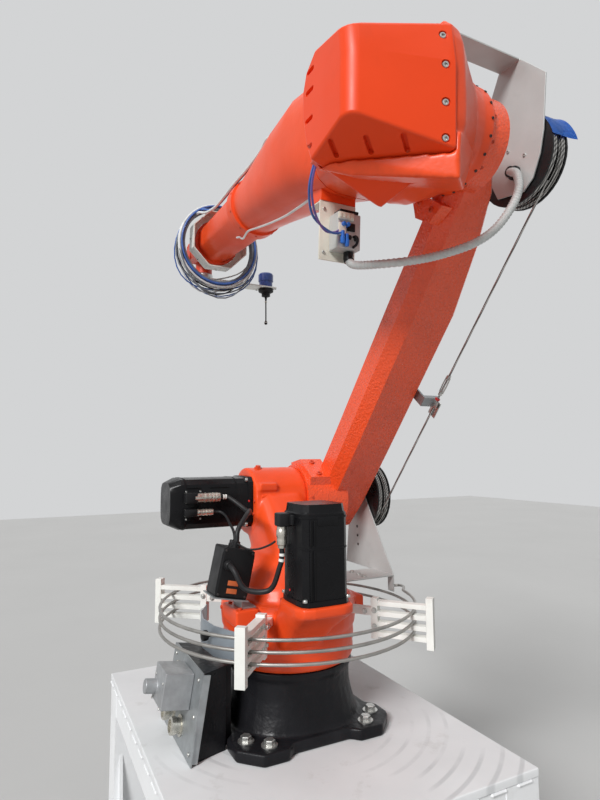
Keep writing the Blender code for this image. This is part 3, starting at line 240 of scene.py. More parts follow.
# Each finish: the CAD's material slot that it stands for, the CAD nodes that wear it, and its material
FINISHES = {
    "orange": ("orange_paint", "turret_casting elbow_housing forearm_casting extension_tube", surface(
        "orange_enamel", (0.86, 0.078, 0.014), 0.38, mottle=0.08, patch=4, gloss=0.07, grain=0.35,
        grain_scale=110, dirt=(0.2, (0.22, 0.03, 0.01), 7), coat=0.15, shine=0.3, depth=0.0008)),
    "cover": ("orange_paint", "elbow_cover", surface(
        "cover_orange", (0.82, 0.064, 0.012), 0.34, mottle=0.06, patch=3, gloss=0.06, grain=0.1,
        grain_scale=400, dirt=(0.1, (0.32, 0.03, 0.008), 9), shine=0.26)),
    "link": ("orange_paint", "link_arm", surface(
        "link_orange", (0.9, 0.092, 0.02), 0.27, mottle=0.1, patch=5, gloss=0.08, grain=1,
        grain_scale=150, dirt=(0.18, (0.25, 0.03, 0.01), 12), coat=0.35, depth=0.0035)),
    "wrist": ("orange_paint", "wrist_housing wrist_unit", surface(
        "wrist_orange", (0.62, 0.055, 0.018), 0.4, mottle=0.12, patch=14,
        dirt=(0.35, (0.12, 0.03, 0.02), 20))),
    "casting_black": ("black_casting_paint", "base_casting terminal_box", surface(
        "casting_black", (0.011, 0.011, 0.013), 0.36, mottle=0.3, patch=9, grain=0.9, grain_scale=75,
        dirt=(0.25, (0.03, 0.028, 0.027), 9), shine=0.16, depth=0.0014)),
    "motor_black": ("black_motor_paint", "a1_motor a2_motor", surface(
        "motor_black", (0.007, 0.007, 0.008), 0.3, mottle=0.25, patch=8, gloss=0.08, grain=0.25,
        grain_scale=200, dirt=(0.1, (0.04, 0.038, 0.036), 9), shine=0.16)),
    "box_black": ("black_plastic", "junction_box touch_probe", surface(
        "box_black", (0.011, 0.011, 0.012), 0.4, mottle=0.2, patch=6, grain=0.35,
        dirt=(0.15, (0.05, 0.045, 0.04), 9), shine=0.2)),
    "reel_black": ("black_plastic", "lower_reel upper_reel", surface(
        "reel_black", (0.01, 0.01, 0.011), 0.34, mottle=0.25, patch=6, grain=0.3,
        dirt=(0.2, (0.09, 0.08, 0.07), 9), shine=0.35)),
    "rubber": ("black_rubber", "a1_motor_lead a2_motor_lead", surface(
        "cable_rubber", (0.01, 0.01, 0.011), 0.5, mottle=0.2, patch=20, grain=0.3, shine=0.35)),
    "galvanised": ("galvanised_sheet", "terminal_cover junction_bracket wire_clamp", surface(
        "galvanised", (0.34, 0.36, 0.37), 0.45, metallic=0.7, gloss=0.08, grain=0.12,
        dirt=(0.15, (0.16, 0.15, 0.13), 9))),
    "bracket": ("galvanised_sheet", "upper_reel_bracket lower_reel_bracket valve_block", surface(
        "bracket_paint", (0.52, 0.53, 0.52), 0.42, metallic=0.25, mottle=0.06, patch=9, gloss=0.06,
        grain=0.08, dirt=(0.22, (0.22, 0.21, 0.19), 14))),
    "cable_steel": ("steel_wire", "turret_cable", surface(
        "cable_steel", (0.34, 0.33, 0.31), 0.38, metallic=0.7, mottle=0.18, patch=22, grain=0.4,
        grain_scale=900, dirt=(0.2, (0.14, 0.12, 0.1), 9))),
    "frame_white": ("white_stand_paint", "stand_frame", surface(
        "frame_white", (0.8, 0.81, 0.82), 0.48, mottle=0.03, patch=3, gloss=0.08, grain=0.15,
        grain_scale=120, dirt=(0.35, (0.42, 0.4, 0.36), 5))),
    "plate_grey": ("galvanised_sheet", "guide_plate", surface(
        "plate_grey", (0.3, 0.34, 0.38), 0.4, metallic=0.6, patch=10, dirt=(0.2, (0.12, 0.12, 0.12), 9))),
    "stainless": ("stainless_sheet", "tool_flange", surface(
        "brushed_steel", (0.56, 0.57, 0.56), 0.34, metallic=0.8, mottle=0.08, patch=5, gloss=0.06,
        grain=0.1, grain_scale=120, dirt=(0.15, (0.25, 0.24, 0.22), 9))),
    "nickel": ("nickel_plugs", "a1_motor_plug a2_power_plug a2_signal_plug", surface(
        "nickel", (0.58, 0.56, 0.5), 0.3, metallic=0.9, mottle=0.12, patch=40)),
    "bolt": ("nickel_plugs", "", surface(
        "zinc_bolts", (0.52, 0.52, 0.5), 0.34, metallic=0.85, mottle=0.2, patch=60,
        dirt=(0.3, (0.12, 0.1, 0.08), 50))),
    "dark_bolt": ("grey_metal", "", surface(
        "dark_screws", (0.05, 0.045, 0.045), 0.45, metallic=0.6, mottle=0.3, patch=60)),
    "orange_bolt": ("orange_paint", "", surface(
        "painted_screws", (0.62, 0.062, 0.016), 0.4, patch=40, dirt=(0.4, (0.15, 0.03, 0.01), 60))),
    # Painted shade: a dark finish for discs that stand for the shade inside holes
    "hole_shade": ("black_plastic", "", surface(
        "well_shadow", (0.03, 0.012, 0.008), 0.7, mottle=0.3, patch=60)),
    "white_plastic": ("white_plastic", COMBS + " probe_bracket", surface(
        "white_plastic", (0.8, 0.8, 0.76), 0.42, mottle=0.06, patch=12, grain=0.15,
        dirt=(0.28, (0.34, 0.32, 0.28), 24))),
    "cream": ("cream_sheet", "valve_plate", surface(
        "cream_sheet", (0.74, 0.72, 0.62), 0.45, mottle=0.08, patch=16,
        dirt=(0.3, (0.3, 0.27, 0.22), 26))),
    "grey_metal": ("grey_metal", "connector_hood", surface(
        "valve_grey", (0.34, 0.35, 0.36), 0.4, metallic=0.4, dirt=(0.2, (0.12, 0.09, 0.07), 9))),
    "conduit": ("pale_conduit", "air_conduit", surface(
        "conduit_grey", (0.6, 0.62, 0.61), 0.5, mottle=0.1, patch=25, grain=0.1,
        dirt=(0.2, (0.28, 0.27, 0.25), 30))),
    "grey_hose": ("grey_hose", "hose_loops", surface(
        "grey_hose", (0.16, 0.18, 0.21), 0.42, mottle=0.2, grain=0.1)),
    "blue_hose": ("grey_hose", "", surface("blue_hose", (0.05, 0.13, 0.42), 0.35, grain=0.1)),
    "white_hose": ("pale_conduit", "", surface(
        "white_hose", (0.72, 0.73, 0.72), 0.4, mottle=0.08, grain=0.1,
        dirt=(0.2, (0.12, 0.09, 0.07), 9))),
    "violet_hose": ("grey_hose", "", surface("violet_hose", (0.16, 0.1, 0.36), 0.35, grain=0.1)),
    "hood": ("white_plastic", "hose_hood", surface(
        "hood_plastic", (0.74, 0.74, 0.68), 0.3, mottle=0.08, patch=18,
        dirt=(0.3, (0.35, 0.32, 0.26), 20), coat=0.3)),
    "probe_blue": ("probe_blue", "probe_head", surface(
        "probe_blue", (0.02, 0.05, 0.22), 0.32, mottle=0.2, coat=0.2)),
    "tape": ("probe_blue", "", surface(
        "blue_tape", (0.02, 0.16, 0.62), 0.38, mottle=0.12, patch=20, grain=0.5, grain_scale=90)),
    "patch": ("orange_paint", "", surface(
        "orange_patch", (0.62, 0.14, 0.04), 0.45, mottle=0.12, patch=40,
        dirt=(0.3, (0.3, 0.1, 0.04), 60))),
    "red": ("orange_paint", "", surface("red_mark", (0.55, 0.02, 0.02), 0.4, patch=60)),
    "stand": ("white_stand_paint", "stand_top", stand_paint()),
    "rope": ("steel_wire", "wire_rope", rope_steel()),
}

for _, names, material in FINISHES.values():
    for name in names.split():
        nodes[name].data.materials.clear()
        nodes[name].data.materials.append(material)


def bevel(obj, width, segments, angle):
    edge = obj.modifiers.new("edge", "BEVEL")
    edge.width = width
    edge.segments = segments
    edge.limit_method = "ANGLE"
    edge.angle_limit = radians(angle)


def round_edges(names, width, segments=2, angle=32.0):
    """Rounds CAD nodes' edges as they are shown. Their own vertices stay as they are."""
    for name in names.split():
        obj = nodes[name]
        held = obj.data.attributes.get("custom_normal")
        if held:
            obj.data.attributes.remove(held)
        obj.data.shade_smooth()
        obj.modifiers.new("weld", "WELD").merge_threshold = 0.00002
        bevel(obj, width, segments, angle)
        obj.modifiers.new("even", "WEIGHTED_NORMAL").keep_sharp = False


round_edges("stand_top terminal_box a1_motor a2_motor connector_hood", 0.003)
round_edges("link_arm", 0.006)
round_edges("forearm_casting", 0.004)
round_edges("lower_reel_bracket upper_reel_bracket valve_plate", 0.0008)
round_edges("junction_bracket guide_plate", 0.0006)
round_edges("probe_bracket", 0.001)
round_edges(COMBS, 0.0012)
round_edges("extension_tube", 0.0015, 3, 40.0)
round_edges("wrist_housing wrist_unit", 0.002, 3, 40.0)


def soften_casting(name, grid, rounds):
    """Blends a casting's corners as sand casting does. The node's own vertices stay as they are."""
    even = nodes[name].modifiers.new("grid", "REMESH")
    even.mode = "VOXEL"
    even.voxel_size = grid
    even.use_smooth_shade = True
    blend = nodes[name].modifiers.new("blend", "SMOOTH")
    blend.factor = 0.5
    blend.iterations = rounds


soften_casting("base_casting", 0.0045, 7)
soften_casting("turret_casting", 0.005, 8)
soften_casting("elbow_housing", 0.0034, 12)


def spokes(count, shift=0.0):
    """Cosine and sine at even steps round a circle."""
    return [(cos(a), sin(a)) for a in (tau * (k + shift) / count for k in range(count))]


def skin(bm, rings, capped=True):
    """Faces between rings of vertices, and over the two ends."""
    for low, high in zip(rings, rings[1:]):
        for k in range(len(low)):
            j = (k + 1) % len(low)
            bm.faces.new((low[k], low[j], high[j], high[k]))
    if capped:
        bm.faces.new(rings[0][::-1])
        bm.faces.new(rings[-1])


def sweep(bm, points, radius, sides=8):
    """A tube through points. The radius is one number, or one for each point."""
    points = [Vector(p) for p in points]
    last = len(points) - 1
    along = [(points[min(i + 1, last)] - points[max(i - 1, 0)]).normalized() for i in range(last + 1)]
    side = along[0].orthogonal().normalized()
    rings = []
    for i, point in enumerate(points):
        side = (side - side.dot(along[i]) * along[i]).normalized()
        other = along[i].cross(side)
        size = radius[i] if isinstance(radius, list) else radius
        rings.append([bm.verts.new(point + (side * c + other * s) * size) for c, s in spokes(sides)])
    skin(bm, rings)


def route(stops, count):
    """Points at even steps of a Catmull-Rom curve through the stops."""
    stops = [Vector(s) for s in stops]
    path = [2 * stops[0] - stops[1], *stops, 2 * stops[-1] - stops[-2]]
    spans = len(stops) - 1
    made = []
    for k in range(count):
        t = spans * k / (count - 1)
        i = min(int(t), spans - 1)
        f = t - i
        a, b, c, d = path[i:i + 4]
        made.append(0.5 * (2 * b + (c - a) * f + (2 * a - 5 * b + 4 * c - d) * f ** 2
                           + (3 * b - a - 3 * c + d) * f ** 3))
    return made


def facing(at, normal):
    """A frame at a point, with its Z along the normal."""
    return moved(at) @ Vector(normal).to_track_quat("Z", "Y").to_matrix().to_4x4()


def lathe(bm, at, normal, profile, sides=16):
    """A turned solid on a point, along a normal. Its profile of radii and heights is closed to the axis."""
    where = facing(at, normal)
    profile = [(0, profile[0][1]), *profile]
    if profile[-1][0]:
        profile.append((0, profile[-1][1]))
    rings = [[bm.verts.new(where @ Vector((radius * c, radius * s, height)))
              for c, s in spokes(sides if radius else 1)] for radius, height in profile]
    for low, high in zip(rings, rings[1:]):
        for k in range(sides):
            j = (k + 1) % sides
            corners = [low[k % len(low)], low[j % len(low)], high[j % len(high)], high[k % len(high)]]
            kept = []
            for corner in corners:
                if corner not in kept:
                    kept.append(corner)
            if len(kept) > 2:
                bm.faces.new(kept)


def disc(bm, at, normal, radius, height, sides=16):
    lathe(bm, at, normal, [(radius, 0), (radius, height)], sides)


def brick(bm, at, size, round_off, base=Matrix()):
    """A block with rounded edges."""
    where = base @ moved(at) @ Matrix.Diagonal((*size, 1))
    made = bmesh.ops.create_cube(bm, size=1.0, matrix=where)
    edges = dict.fromkeys(e for v in made["verts"] for e in v.link_edges)
    bmesh.ops.bevel(bm, geom=list(edges), offset=round_off, segments=2, profile=0.5, affect="EDGES")


def settle(name, bm, where=Matrix()):
    """Makes a mesh under construction an object of the scene."""
    mesh = bpy.data.meshes.new(name)
    bm.to_mesh(mesh)
    bm.free()
    mesh.transform(where)
    obj = bpy.data.objects.new(name, mesh)
    scene.collection.objects.link(obj)
    return obj


def piece(name, bm, body, finish, sharp=35.0):
    """Makes a mesh in a body's own frame a piece that rides on it."""
    bmesh.ops.recalc_face_normals(bm, faces=bm.faces)
    obj = settle(name, bm, FRAMES[body])
    slot, _, material = FINISHES[finish]
    obj.data.materials.append(material)
    obj.data.shade_smooth()
    obj.data.set_sharp_from_angle(angle=radians(sharp))
    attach(obj, body)
    return obj


def hex_bolt(bm, at, normal, size, washer=True):
    low = 0.0
    if washer:
        low = 0.22 * size
        disc(bm, at, normal, 1.5 * size, low, 20)
    high = low + 0.88 * size
    lathe(bm, at, normal, [(0, low), (size, low), (size, low + 0.75 * size), (0.86 * size, high)], 6)


def cap_screw(bm, at, normal, size, top):
    """A screw head with a socket in it."""
    lathe(bm, at, normal, [(size, 0), (size, 0.75 * top), (0.86 * size, top), (0.5 * size, top),
                           (0.5 * size, 0.3 * top)], 14)


trees = {}


def seat(node, at, towards, body):
    """Where a ray from a point in a body's frame meets a CAD node, and the surface's normal there."""
    if node not in trees:
        mesh = nodes[node].data
        trees[node] = BVHTree.FromPolygons([v.co.copy() for v in mesh.vertices],
                                           [tuple(p.vertices) for p in mesh.polygons])
    turn = FRAMES[body].to_3x3()
    hit, normal, _, _ = trees[node].ray_cast(FRAMES[body] @ Vector(at), turn @ Vector(towards))
    if hit is None:
        raise ValueError("nothing of %s lies ahead of %s" % (node, at))
    back = FRAMES[body].inverted()
    return back @ hit, (back.to_3x3() @ normal).normalized()


def seat_screws(bm, node, body, towards, starts, size, top):
    """Screws where rays from some points meet a CAD node."""
    for start in starts:
        cap_screw(bm, *seat(node, start, towards, body), size, top)


def free_cord(name, points, radius, body, finish, node=None,
              sides=10):
    """A cord as a tube with its real length, which may stand for a CAD node."""
    bm = bmesh.new()
    sweep(bm, points, radius, sides)
    obj = piece(name, bm, body, finish, 60.0)
    if node:
        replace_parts(obj, node)


def make_motor_leads():
    """Leads from the motors' plugs to the junction box, with a hair of air at each end."""
    gap = 0.0008
    x, y, z = PLUG_1
    first = route([
        (x, y, z - gap), (x, y, z - 0.02), (x + 0.004, y + 0.004, z - 0.045), (-0.215, 0.15, 0.4),
        (-0.185, 0.2, 0.4), (-0.168, 0.222, 0.44), (-0.145, 0.225, 0.45), (-0.1275 - gap, 0.225, 0.45)], 46)
    free_cord("a1_power_lead", first, 0.0065, "turret", "rubber", "a1_motor_lead")
    c, s = polar(JUNCTION_LEAN)
    up = Vector((0, -s, c))
    lid = Vector(JUNCTION_AT) + up * JUNCTION_TOP
    beside = Vector((0.02, 0.004, 0))
    x, y, z = PLUG_2
    second = route([
        (x, y - gap, z), (x, y - 0.012, z), (x - 0.004, y - 0.026, z - 0.002),
        (x - 0.024, y - 0.045, z - 0.018), (0.04, 0.105, 0.558), (-0.015, 0.125, 0.568),
        (-0.06, 0.152, 0.56), lid + up * 0.044 + Vector((0.006, 0, 0)), lid + up * 0.018,
        lid + up * gap], 54)
    free_cord("a2_power_lead", second, 0.0065, "turret", "rubber", "a2_motor_lead")
    bands = bmesh.new()
    for line, at in ((first, 4), (first, 8), (second, 5), (second, 8)):
        sweep(bands, line[at:at + 3], 0.007, 14)
    piece("lead_bands", bands, "turret", "white_plastic")
    thin = route([
        (0.112, 0.189, 0.558), (0.112, 0.178, 0.558), (0.106, 0.166, 0.556), (0.085, 0.158, 0.545),
        (0.045, 0.16, 0.528), (0, 0.168, 0.52), (-0.04, 0.178, 0.512), (-0.07, 0.188, 0.502),
        lid + up * 0.006 + beside, lid + up * gap + beside], 40)
    free_cord("a2_signal_lead", thin, 0.0038, "turret", "rubber")
    slack = route([
        (-0.234, 0.144, 0.516), (-0.224, 0.154, 0.507), (-0.2, 0.17, 0.496), (-0.165, 0.184, 0.49),
        (-0.135, 0.192, 0.494), (-0.112, 0.1935, 0.497), lid + Vector((-0.018, 0, 0)) + up * gap], 32)
    free_cord("a1_signal_lead", slack, 0.0026, "turret", "rubber", sides=8)


def cable_height(travel):
    """The cable lies level on the combs' fingers and steps down between the last comb and the first."""
    over = COMB_FINGER / 2 + 0.0003 + CABLE_RADIUS
    turns, part = divmod(travel, 360.0)
    step = min(1.0, max(0.0, (part - 225.0) / 60.0))
    ease = step * step * (3 - 2 * step)
    return COMB_LOW + 2 * COMB_PITCH + over - COMB_PITCH * (turns + ease)


def make_turret_cable():
    start = -0.3743
    top = cable_height(0)
    line = route([
        (0.02, start, 0.306), (0.018, start - 0.012, 0.306), (0.004, start - 0.02, 0.308),
        (-0.03, start - 0.008, top - 0.002), (-0.07, -0.3495, top)], 20)
    for travel in range(0, 937, 6):
        c, s = polar(CABLE_START - travel)
        line.append(Vector((CABLE_RING * c, CABLE_RING * s, cable_height(travel))))
    free_cord("comb_wire_rope", line, 0.9 * CABLE_RADIUS, "turret", "cable_steel", "turret_cable",
              sides=8)


def make_conduit():
    """Corrugated conduit from the valve block to the upper reel's plate."""
    x, y, z = 0.2007, -0.02, -0.2328
    line = route([
        (x, y, z), (x, y, z - 0.009), (x, y, z - 0.018), (x - 0.022, y - 0.006, z - 0.036),
        (0.11, -0.05, -0.28), (0.045, -0.11, -0.277), (0.018, -0.17, -0.26), (-0.01, -0.235, -0.232),
        (-0.028, -0.285, -0.193), (-0.041, -0.322, -0.138), (-0.047, -0.338, -0.092),
        (-0.034, -0.344, -0.052), (-0.006, -0.354, -0.034), (-0.006, -0.362, -0.034),
        (-0.006, -0.3692, -0.034)], 420)
    ridges = [(0.0105, 0.0104, 0.0093, 0.0094)[k % 4] for k in range(len(line))]
    free_cord("corrugated_conduit", line, ridges, "forearm", "conduit", "air_conduit",
              sides=14)
    glands = bmesh.new()
    sweep(glands, [(x, y, z - 0.001), (x, y, z - 0.008), (x, y, z - 0.016),
                   (x - 0.003, y - 0.001, z - 0.023)], 0.0128, 16)
    lathe(glands, (-0.006, -0.3695, -0.034), LEFT,
          [(0.017, 0), (0.017, 0.007), (0.0135, 0.009), (0.0135, 0.02), (0.0125, 0.022)], 18)
    piece("conduit_glands", glands, "forearm", "box_black")


def hose_turns(name, finish, thick, start, radius, top, node=None, sides=8):
    """Three turns of hose that hang over the hood, one beside another."""
    count, turns, pitch = 40, 3, 0.014
    line = []
    for k in range(turns * count + 1):
        a = tau * k / count
        x = HOOD_START + start + pitch * k / count
        line.append((x, radius * sin(a), top - radius + radius * cos(a)))
    free_cord(name, line, thick, "forearm", finish, node, sides=sides)


def hose_bundle(name, finish, start, around, thick, turns):
    """Loose turns of thin hose that hang over the hood's top corners, less even the lower they hang."""
    ridge_y = HOOD_RADIUS * sin(pi / 8)
    ridge_z = HOOD_RADIUS * cos(pi / 8)
    middle = RISE + ridge_z - sqrt((around - thick) ** 2 - ridge_y ** 2) + 0.016
    phases = [random.uniform(0, tau) for _ in range(4)]
    count = 32
    line = []
    for k in range(turns * count + 1):
        a = tau * k / count
        hang = (1 - cos(a)) / 2
        spread = around + hang * (0.01 * sin(1.31 * a + phases[0]) + 0.005 * sin(2.7 * a + phases[1]))
        x = HOOD_START + start + 0.007 * k / count + hang * (0.022 * sin(0.83 * a + phases[2]) + 0.012)
        line.append((x, spread * sin(a), middle + around - spread + spread * cos(a)
                     - hang * 0.012 * (1 + sin(0.6 * a + phases[3]))))
    free_cord(name, line, thick, "forearm", finish, sides=7)


def make_service_hoses():
    top = 0.2007
    hose_bundle("loose_grey_hose", "grey_hose", 0.012, 0.168, 0.003, 3)
    hose_bundle("loose_white_hose", "white_hose", 0.022, 0.16, 0.0026, 3)
    hose_bundle("loose_blue_hose", "blue_hose", 0.03, 0.172, 0.0026, 2)
    hose_bundle("loose_pale_hose", "conduit", 0.036, 0.155, 0.0028, 3)
    hose_bundle("loose_dark_hose", "rubber", 0.028, 0.164, 0.0026, 2)
    hose_turns("grey_service_hose", "grey_hose", 0.006, 0.012, 0.15, top, "hose_loops", 10)
    hose_turns("blue_service_hose", "blue_hose", 0.004, 0.005, 0.158, top + 0.0095)
    hose_turns("white_service_hose", "white_hose", 0.0045, 0.012, 0.166, top + 0.015)
    for name, finish, radius, angle in (("blue_run", "blue_hose", 0.0045, 52.0),
                                        ("white_run", "white_hose", 0.005, 42.0)):
        y, z = polar(angle)
        stops = [(0.47, 0.104 * y + 0.006, RISE + 0.128 * z), (0.5, 0.11 * y + 0.006, RISE + 0.134 * z)]
        stops += [(x, out * y, RISE + up * z) for x, out, up in (
            (0.56, 0.108, 0.127), (0.68, 0.108, 0.111), (0.79, 0.108, 0.108), (0.9, 0.104, 0.104),
            (1.02, 0.102, 0.102), (1.11, 0.112, 0.112), (1.16, 0.132, 0.132), (1.185, 0.134, 0.136))]
        free_cord(name, route(stops, 48), radius, "forearm", finish, sides=8)
    sag = []
    for x, drop in ((0.3, 0.0036), (0.325, 0.01), (0.38, 0.016), (0.47, 0.022), (0.58, 0.02), (0.69, 0.013),
                    (0.77, 0.008), (0.815, 0.012), (0.85, 0.01), (0.88, 0.0036)):
        over = "forearm_casting" if x < 0.8 else "extension_tube"
        under, _ = seat(over, (x, 0.036, -0.5), UP, "forearm")
        sag.append((x, 0.036, under.z - drop))
    free_cord("white_cable", route(sag, 36), 0.0035, "forearm", "white_hose", sides=8)
    for name, finish, side in (("violet_pilot_hose", "violet_hose", 0),
                               ("blue_pilot_hose", "blue_hose", 0.012)):
        drop = [(0.046 + side, 0.15, -0.096), (0.052 + side, 0.156, -0.112), (0.08 + side, 0.15, -0.15),
                (0.12 + side, 0.118, -0.188), (0.16, 0.07 - side, -0.205), (0.176, 0.03 - side, -0.196),
                (0.1785, 0.012 - side, -0.176)]
        free_cord(name, route(drop, 32), 0.0028, "forearm", finish, sides=8)


def make_stand_detail():
    bolts = bmesh.new()
    for a, b in ((0.18, 0.1365), (0.1365, 0.18)):
        for sx, sy in CORNERS:
            hex_bolt(bolts, (sx * a, sy * b, 0.0284), UP, 0.0135)
    piece("foot_bolts", bolts, "base", "bolt")

    beads = bmesh.new()
    half_x, half_y = (half - 0.0004 for half in STAND_HALF)
    corners = [Vector((STAND_MIDDLE_X + sx * half_x, sy * half_y, -0.0225))
               for sx, sy in ((-1, -1), (1, -1), (1, 1), (-1, 1))]
    for a, b, stitches in zip(corners, corners[1:] + corners[:1], (13, 10, 13, 10)):
        for s in range(stitches):
            low, high = a.lerp(b, (s + 0.12) / stitches), a.lerp(b, (s + 0.72) / stitches)
            line = [low.lerp(high, k / 12) for k in range(13)]
            sizes = [0.003 + 0.0008 * (k % 2) + random.uniform(-0.0003, 0.0003) for k in range(13)]
            sizes[0] = sizes[-1] = 0.0014
            sweep(beads, line, sizes, 7)
    piece("weld_beads", beads, "base", "frame_white")

    screws = bmesh.new()
    seat_screws(screws, "terminal_cover", "base", RIGHT, [
        (side * x, 0.45, z) for x, z in ((0.115, 0.02), (0.106, 0.18), (0.112, 0.1)) for side in SIDES],
                0.005, 0.0035)
    seat_screws(screws, "connector_hood", "base", RIGHT, [
        (x, 0.5, z) for z in (0.168, 0.112) for x in (-0.058, 0.018)], 0.0035, 0.0025)
    piece("terminal_screws", screws, "base", "bolt")

    sockets = bmesh.new()
    for x, z, size in ((0.075, 0.15, 0.015), (0.075, 0.1, 0.015), (0.06, 0.05, 0.019),
                       (-0.02, 0.046, 0.019)):
        lathe(sockets, *seat("terminal_cover", (x, 0.45, z), RIGHT, "base"), [
            (1.35 * size, 0), (1.35 * size, 0.003), (size, 0.004), (size, 0.014), (1.12 * size, 0.015),
            (1.12 * size, 0.026), (0.95 * size, 0.028), (0.78 * size, 0.028), (0.74 * size, 0.02)], 20)
    piece("terminal_sockets", sockets, "base", "nickel")


def superellipse(half_a, half_b, power, count=36):
    ring = []
    for c, s in spokes(count):
        size = (abs(c) ** power + abs(s) ** power) ** (-1.0 / power)
        ring.append((half_a * c * size, half_b * s * size))
    return ring


def band(bm, where, half, power, low, high, proud):
    """A raised band round a motor of squared section, in a frame with Z along the motor."""
    rings = [[bm.verts.new(where @ Vector((a, b, z)))
              for a, b in superellipse(half + out, half + out, power)]
             for z, out in ((low, -0.001), (low, proud), (high, proud), (high, -0.001))]
    skin(bm, [*rings, rings[0]], False)


def make_motor_detail():
    upright = moved((-0.25, 0.045, 0.3723))
    level = moved((HUB_X, 0.0583, HUB_Z)) @ turned(-90, "X")
    trim = bmesh.new()
    band(trim, upright, 0.0625, 5.5, 0.128, 0.132, 0.0008)
    band(trim, upright, 0.0625, 5.5, 0.2, 0.2045, 0.0012)
    band(trim, level, 0.075, 5.0, 0.052, 0.055, 0.0008)
    band(trim, level, 0.075, 5.0, 0.206, 0.2105, 0.0012)
    for z, tall in ((0.443, 0.112), (0.539, 0.058)):
        brick(trim, (-0.3126, 0.08, z), (0.005, 0.0034, tall), 0.001)
        brick(trim, (-0.3116, 0.089, z), (0.005, 0.0034, tall), 0.001)
    for y, long in ((0.166, 0.06), (0.243, 0.04)):
        brick(trim, (0.1246, y, 0.628), (0.0026, long, 0.0026), 0.0008)
    brick(trim, (0.1248, 0.245, 0.578), (0.004, 0.05, 0.088), 0.0016)
    brick(trim, (-0.3126, 0.044, 0.566), (0.003, 0.056, 0.022), 0.0012)
    piece("motor_trim", trim, "turret", "motor_black")

    boots = bmesh.new()
    brick(boots, (0.11235, 0.255, 0.6), (0.0282, 0.0355, 0.0302), 0.003)
    brick(boots, (0.11335, 0.255, 0.558), (0.0262, 0.0355, 0.0214), 0.003)
    piece("plug_boots", boots, "turret", "box_black")

    boot = bmesh.new()
    brick(boot, (-0.24, 0.125, 0.567), (0.036, 0.0348, 0.032), 0.004)
    brick(boot, (-0.262, 0.113, 0.567), (0.016, 0.0108, 0.024), 0.003)
    piece("a1_plug_boot", boot, "turret", "box_black")
    metal = bmesh.new()
    lathe(metal, PLUG_1, UP, [
        (0.0095, 0), (0.0095, 0.006), (0.012, 0.008), (0.0126, 0.011), (0.012, 0.014),
        (0.0126, 0.017), (0.012, 0.02), (0.012, 0.026), (0.0134, 0.028), (0.0134, 0.042),
        (0.012, 0.044), (0.012, 0.0512)], 18)
    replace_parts(piece("a1_plug_sleeve", metal, "turret", "nickel"), "a1_motor_plug")

    rings = bmesh.new()
    for x, y, z, size in ((0.11, 0.178, 0.6, 0.013), (0.112, 0.196, 0.558, 0.009)):
        for step in (0.0, 0.01, 0.02, 0.034):
            lathe(rings, (x, y + step, z), LEFT,
                  [(1.08 * size, 0), (1.12 * size, 0.002), (1.08 * size, 0.005)], 18)
    piece("plug_rings", rings, "turret", "nickel")

    screws = bmesh.new()
    for a, b in CORNERS:
        cap_screw(screws, (HUB_X + a * 0.0665, 0.0744, HUB_Z + b * 0.0665), LEFT, 0.0062, 0.007)
        cap_screw(screws, (-0.25 + a * 0.057, 0.045 + b * 0.057, 0.3846), UP, 0.0058, 0.006)
        cap_screw(screws, (0.1227, 0.245 + a * 0.021, 0.578 + b * 0.039), BACK, 0.0026, 0.0015)
    piece("motor_screws", screws, "turret", "bolt")

    marks = bmesh.new()
    lathe(marks, (0.1229, 0.0724, 0.5832), BACK, [(0.0034, 0), (0.003, 0.001), (0, 0.0012)])
    lathe(marks, (-0.2378, 0.108, 0.4), LEFT, [(0.003, 0), (0.0026, 0.001), (0, 0.0012)])
    piece("red_paint_dots", marks, "turret", "red")


def make_junction_detail():
    lean = moved(JUNCTION_AT) @ turned(JUNCTION_LEAN, "X")
    patches = bmesh.new()
    for z, wide in ((-0.0235, 0.028), (-0.0425, 0.027)):
        brick(patches, (-0.0378, 0.002, z), (0.0012, wide, 0.012), 0.0004, lean)
    piece("junction_patches", patches, "turret", "patch")
    screws = bmesh.new()
    for sy, sz in CORNERS:
        cap_screw(screws, lean @ Vector((-0.0375, sy * 0.0355, sz * 0.053)), BACK, 0.003, 0.0018)
    piece("junction_screws", screws, "turret", "dark_bolt")
    glands = bmesh.new()
    up = lean.to_3x3() @ Vector(UP)
    for x, y, size in ((0, 0, 0.0105), (0.02, 0.004, 0.0072)):
        lathe(glands, lean @ Vector((x, y, JUNCTION_TOP)), up, [
            (1.2 * size, 0), (1.2 * size, 0.006), (size, 0.007), (size, 0.014), (0.8 * size, 0.016)], 12)
    lathe(glands, (-0.1276, 0.225, 0.45), BACK, [
        (0.0125, 0), (0.0125, 0.006), (0.0105, 0.007), (0.0105, 0.013), (0.0085, 0.015)], 12)
    piece("junction_glands", glands, "turret", "box_black")
    seam = bmesh.new()
    line = [lean @ Vector((-0.0335, a, b)) for a, b in superellipse(0.043, 0.0605, 12.0, 48)]
    sweep(seam, [*line, line[0]], 0.001, 6)
    piece("junction_lid_seam", seam, "turret", "rubber")


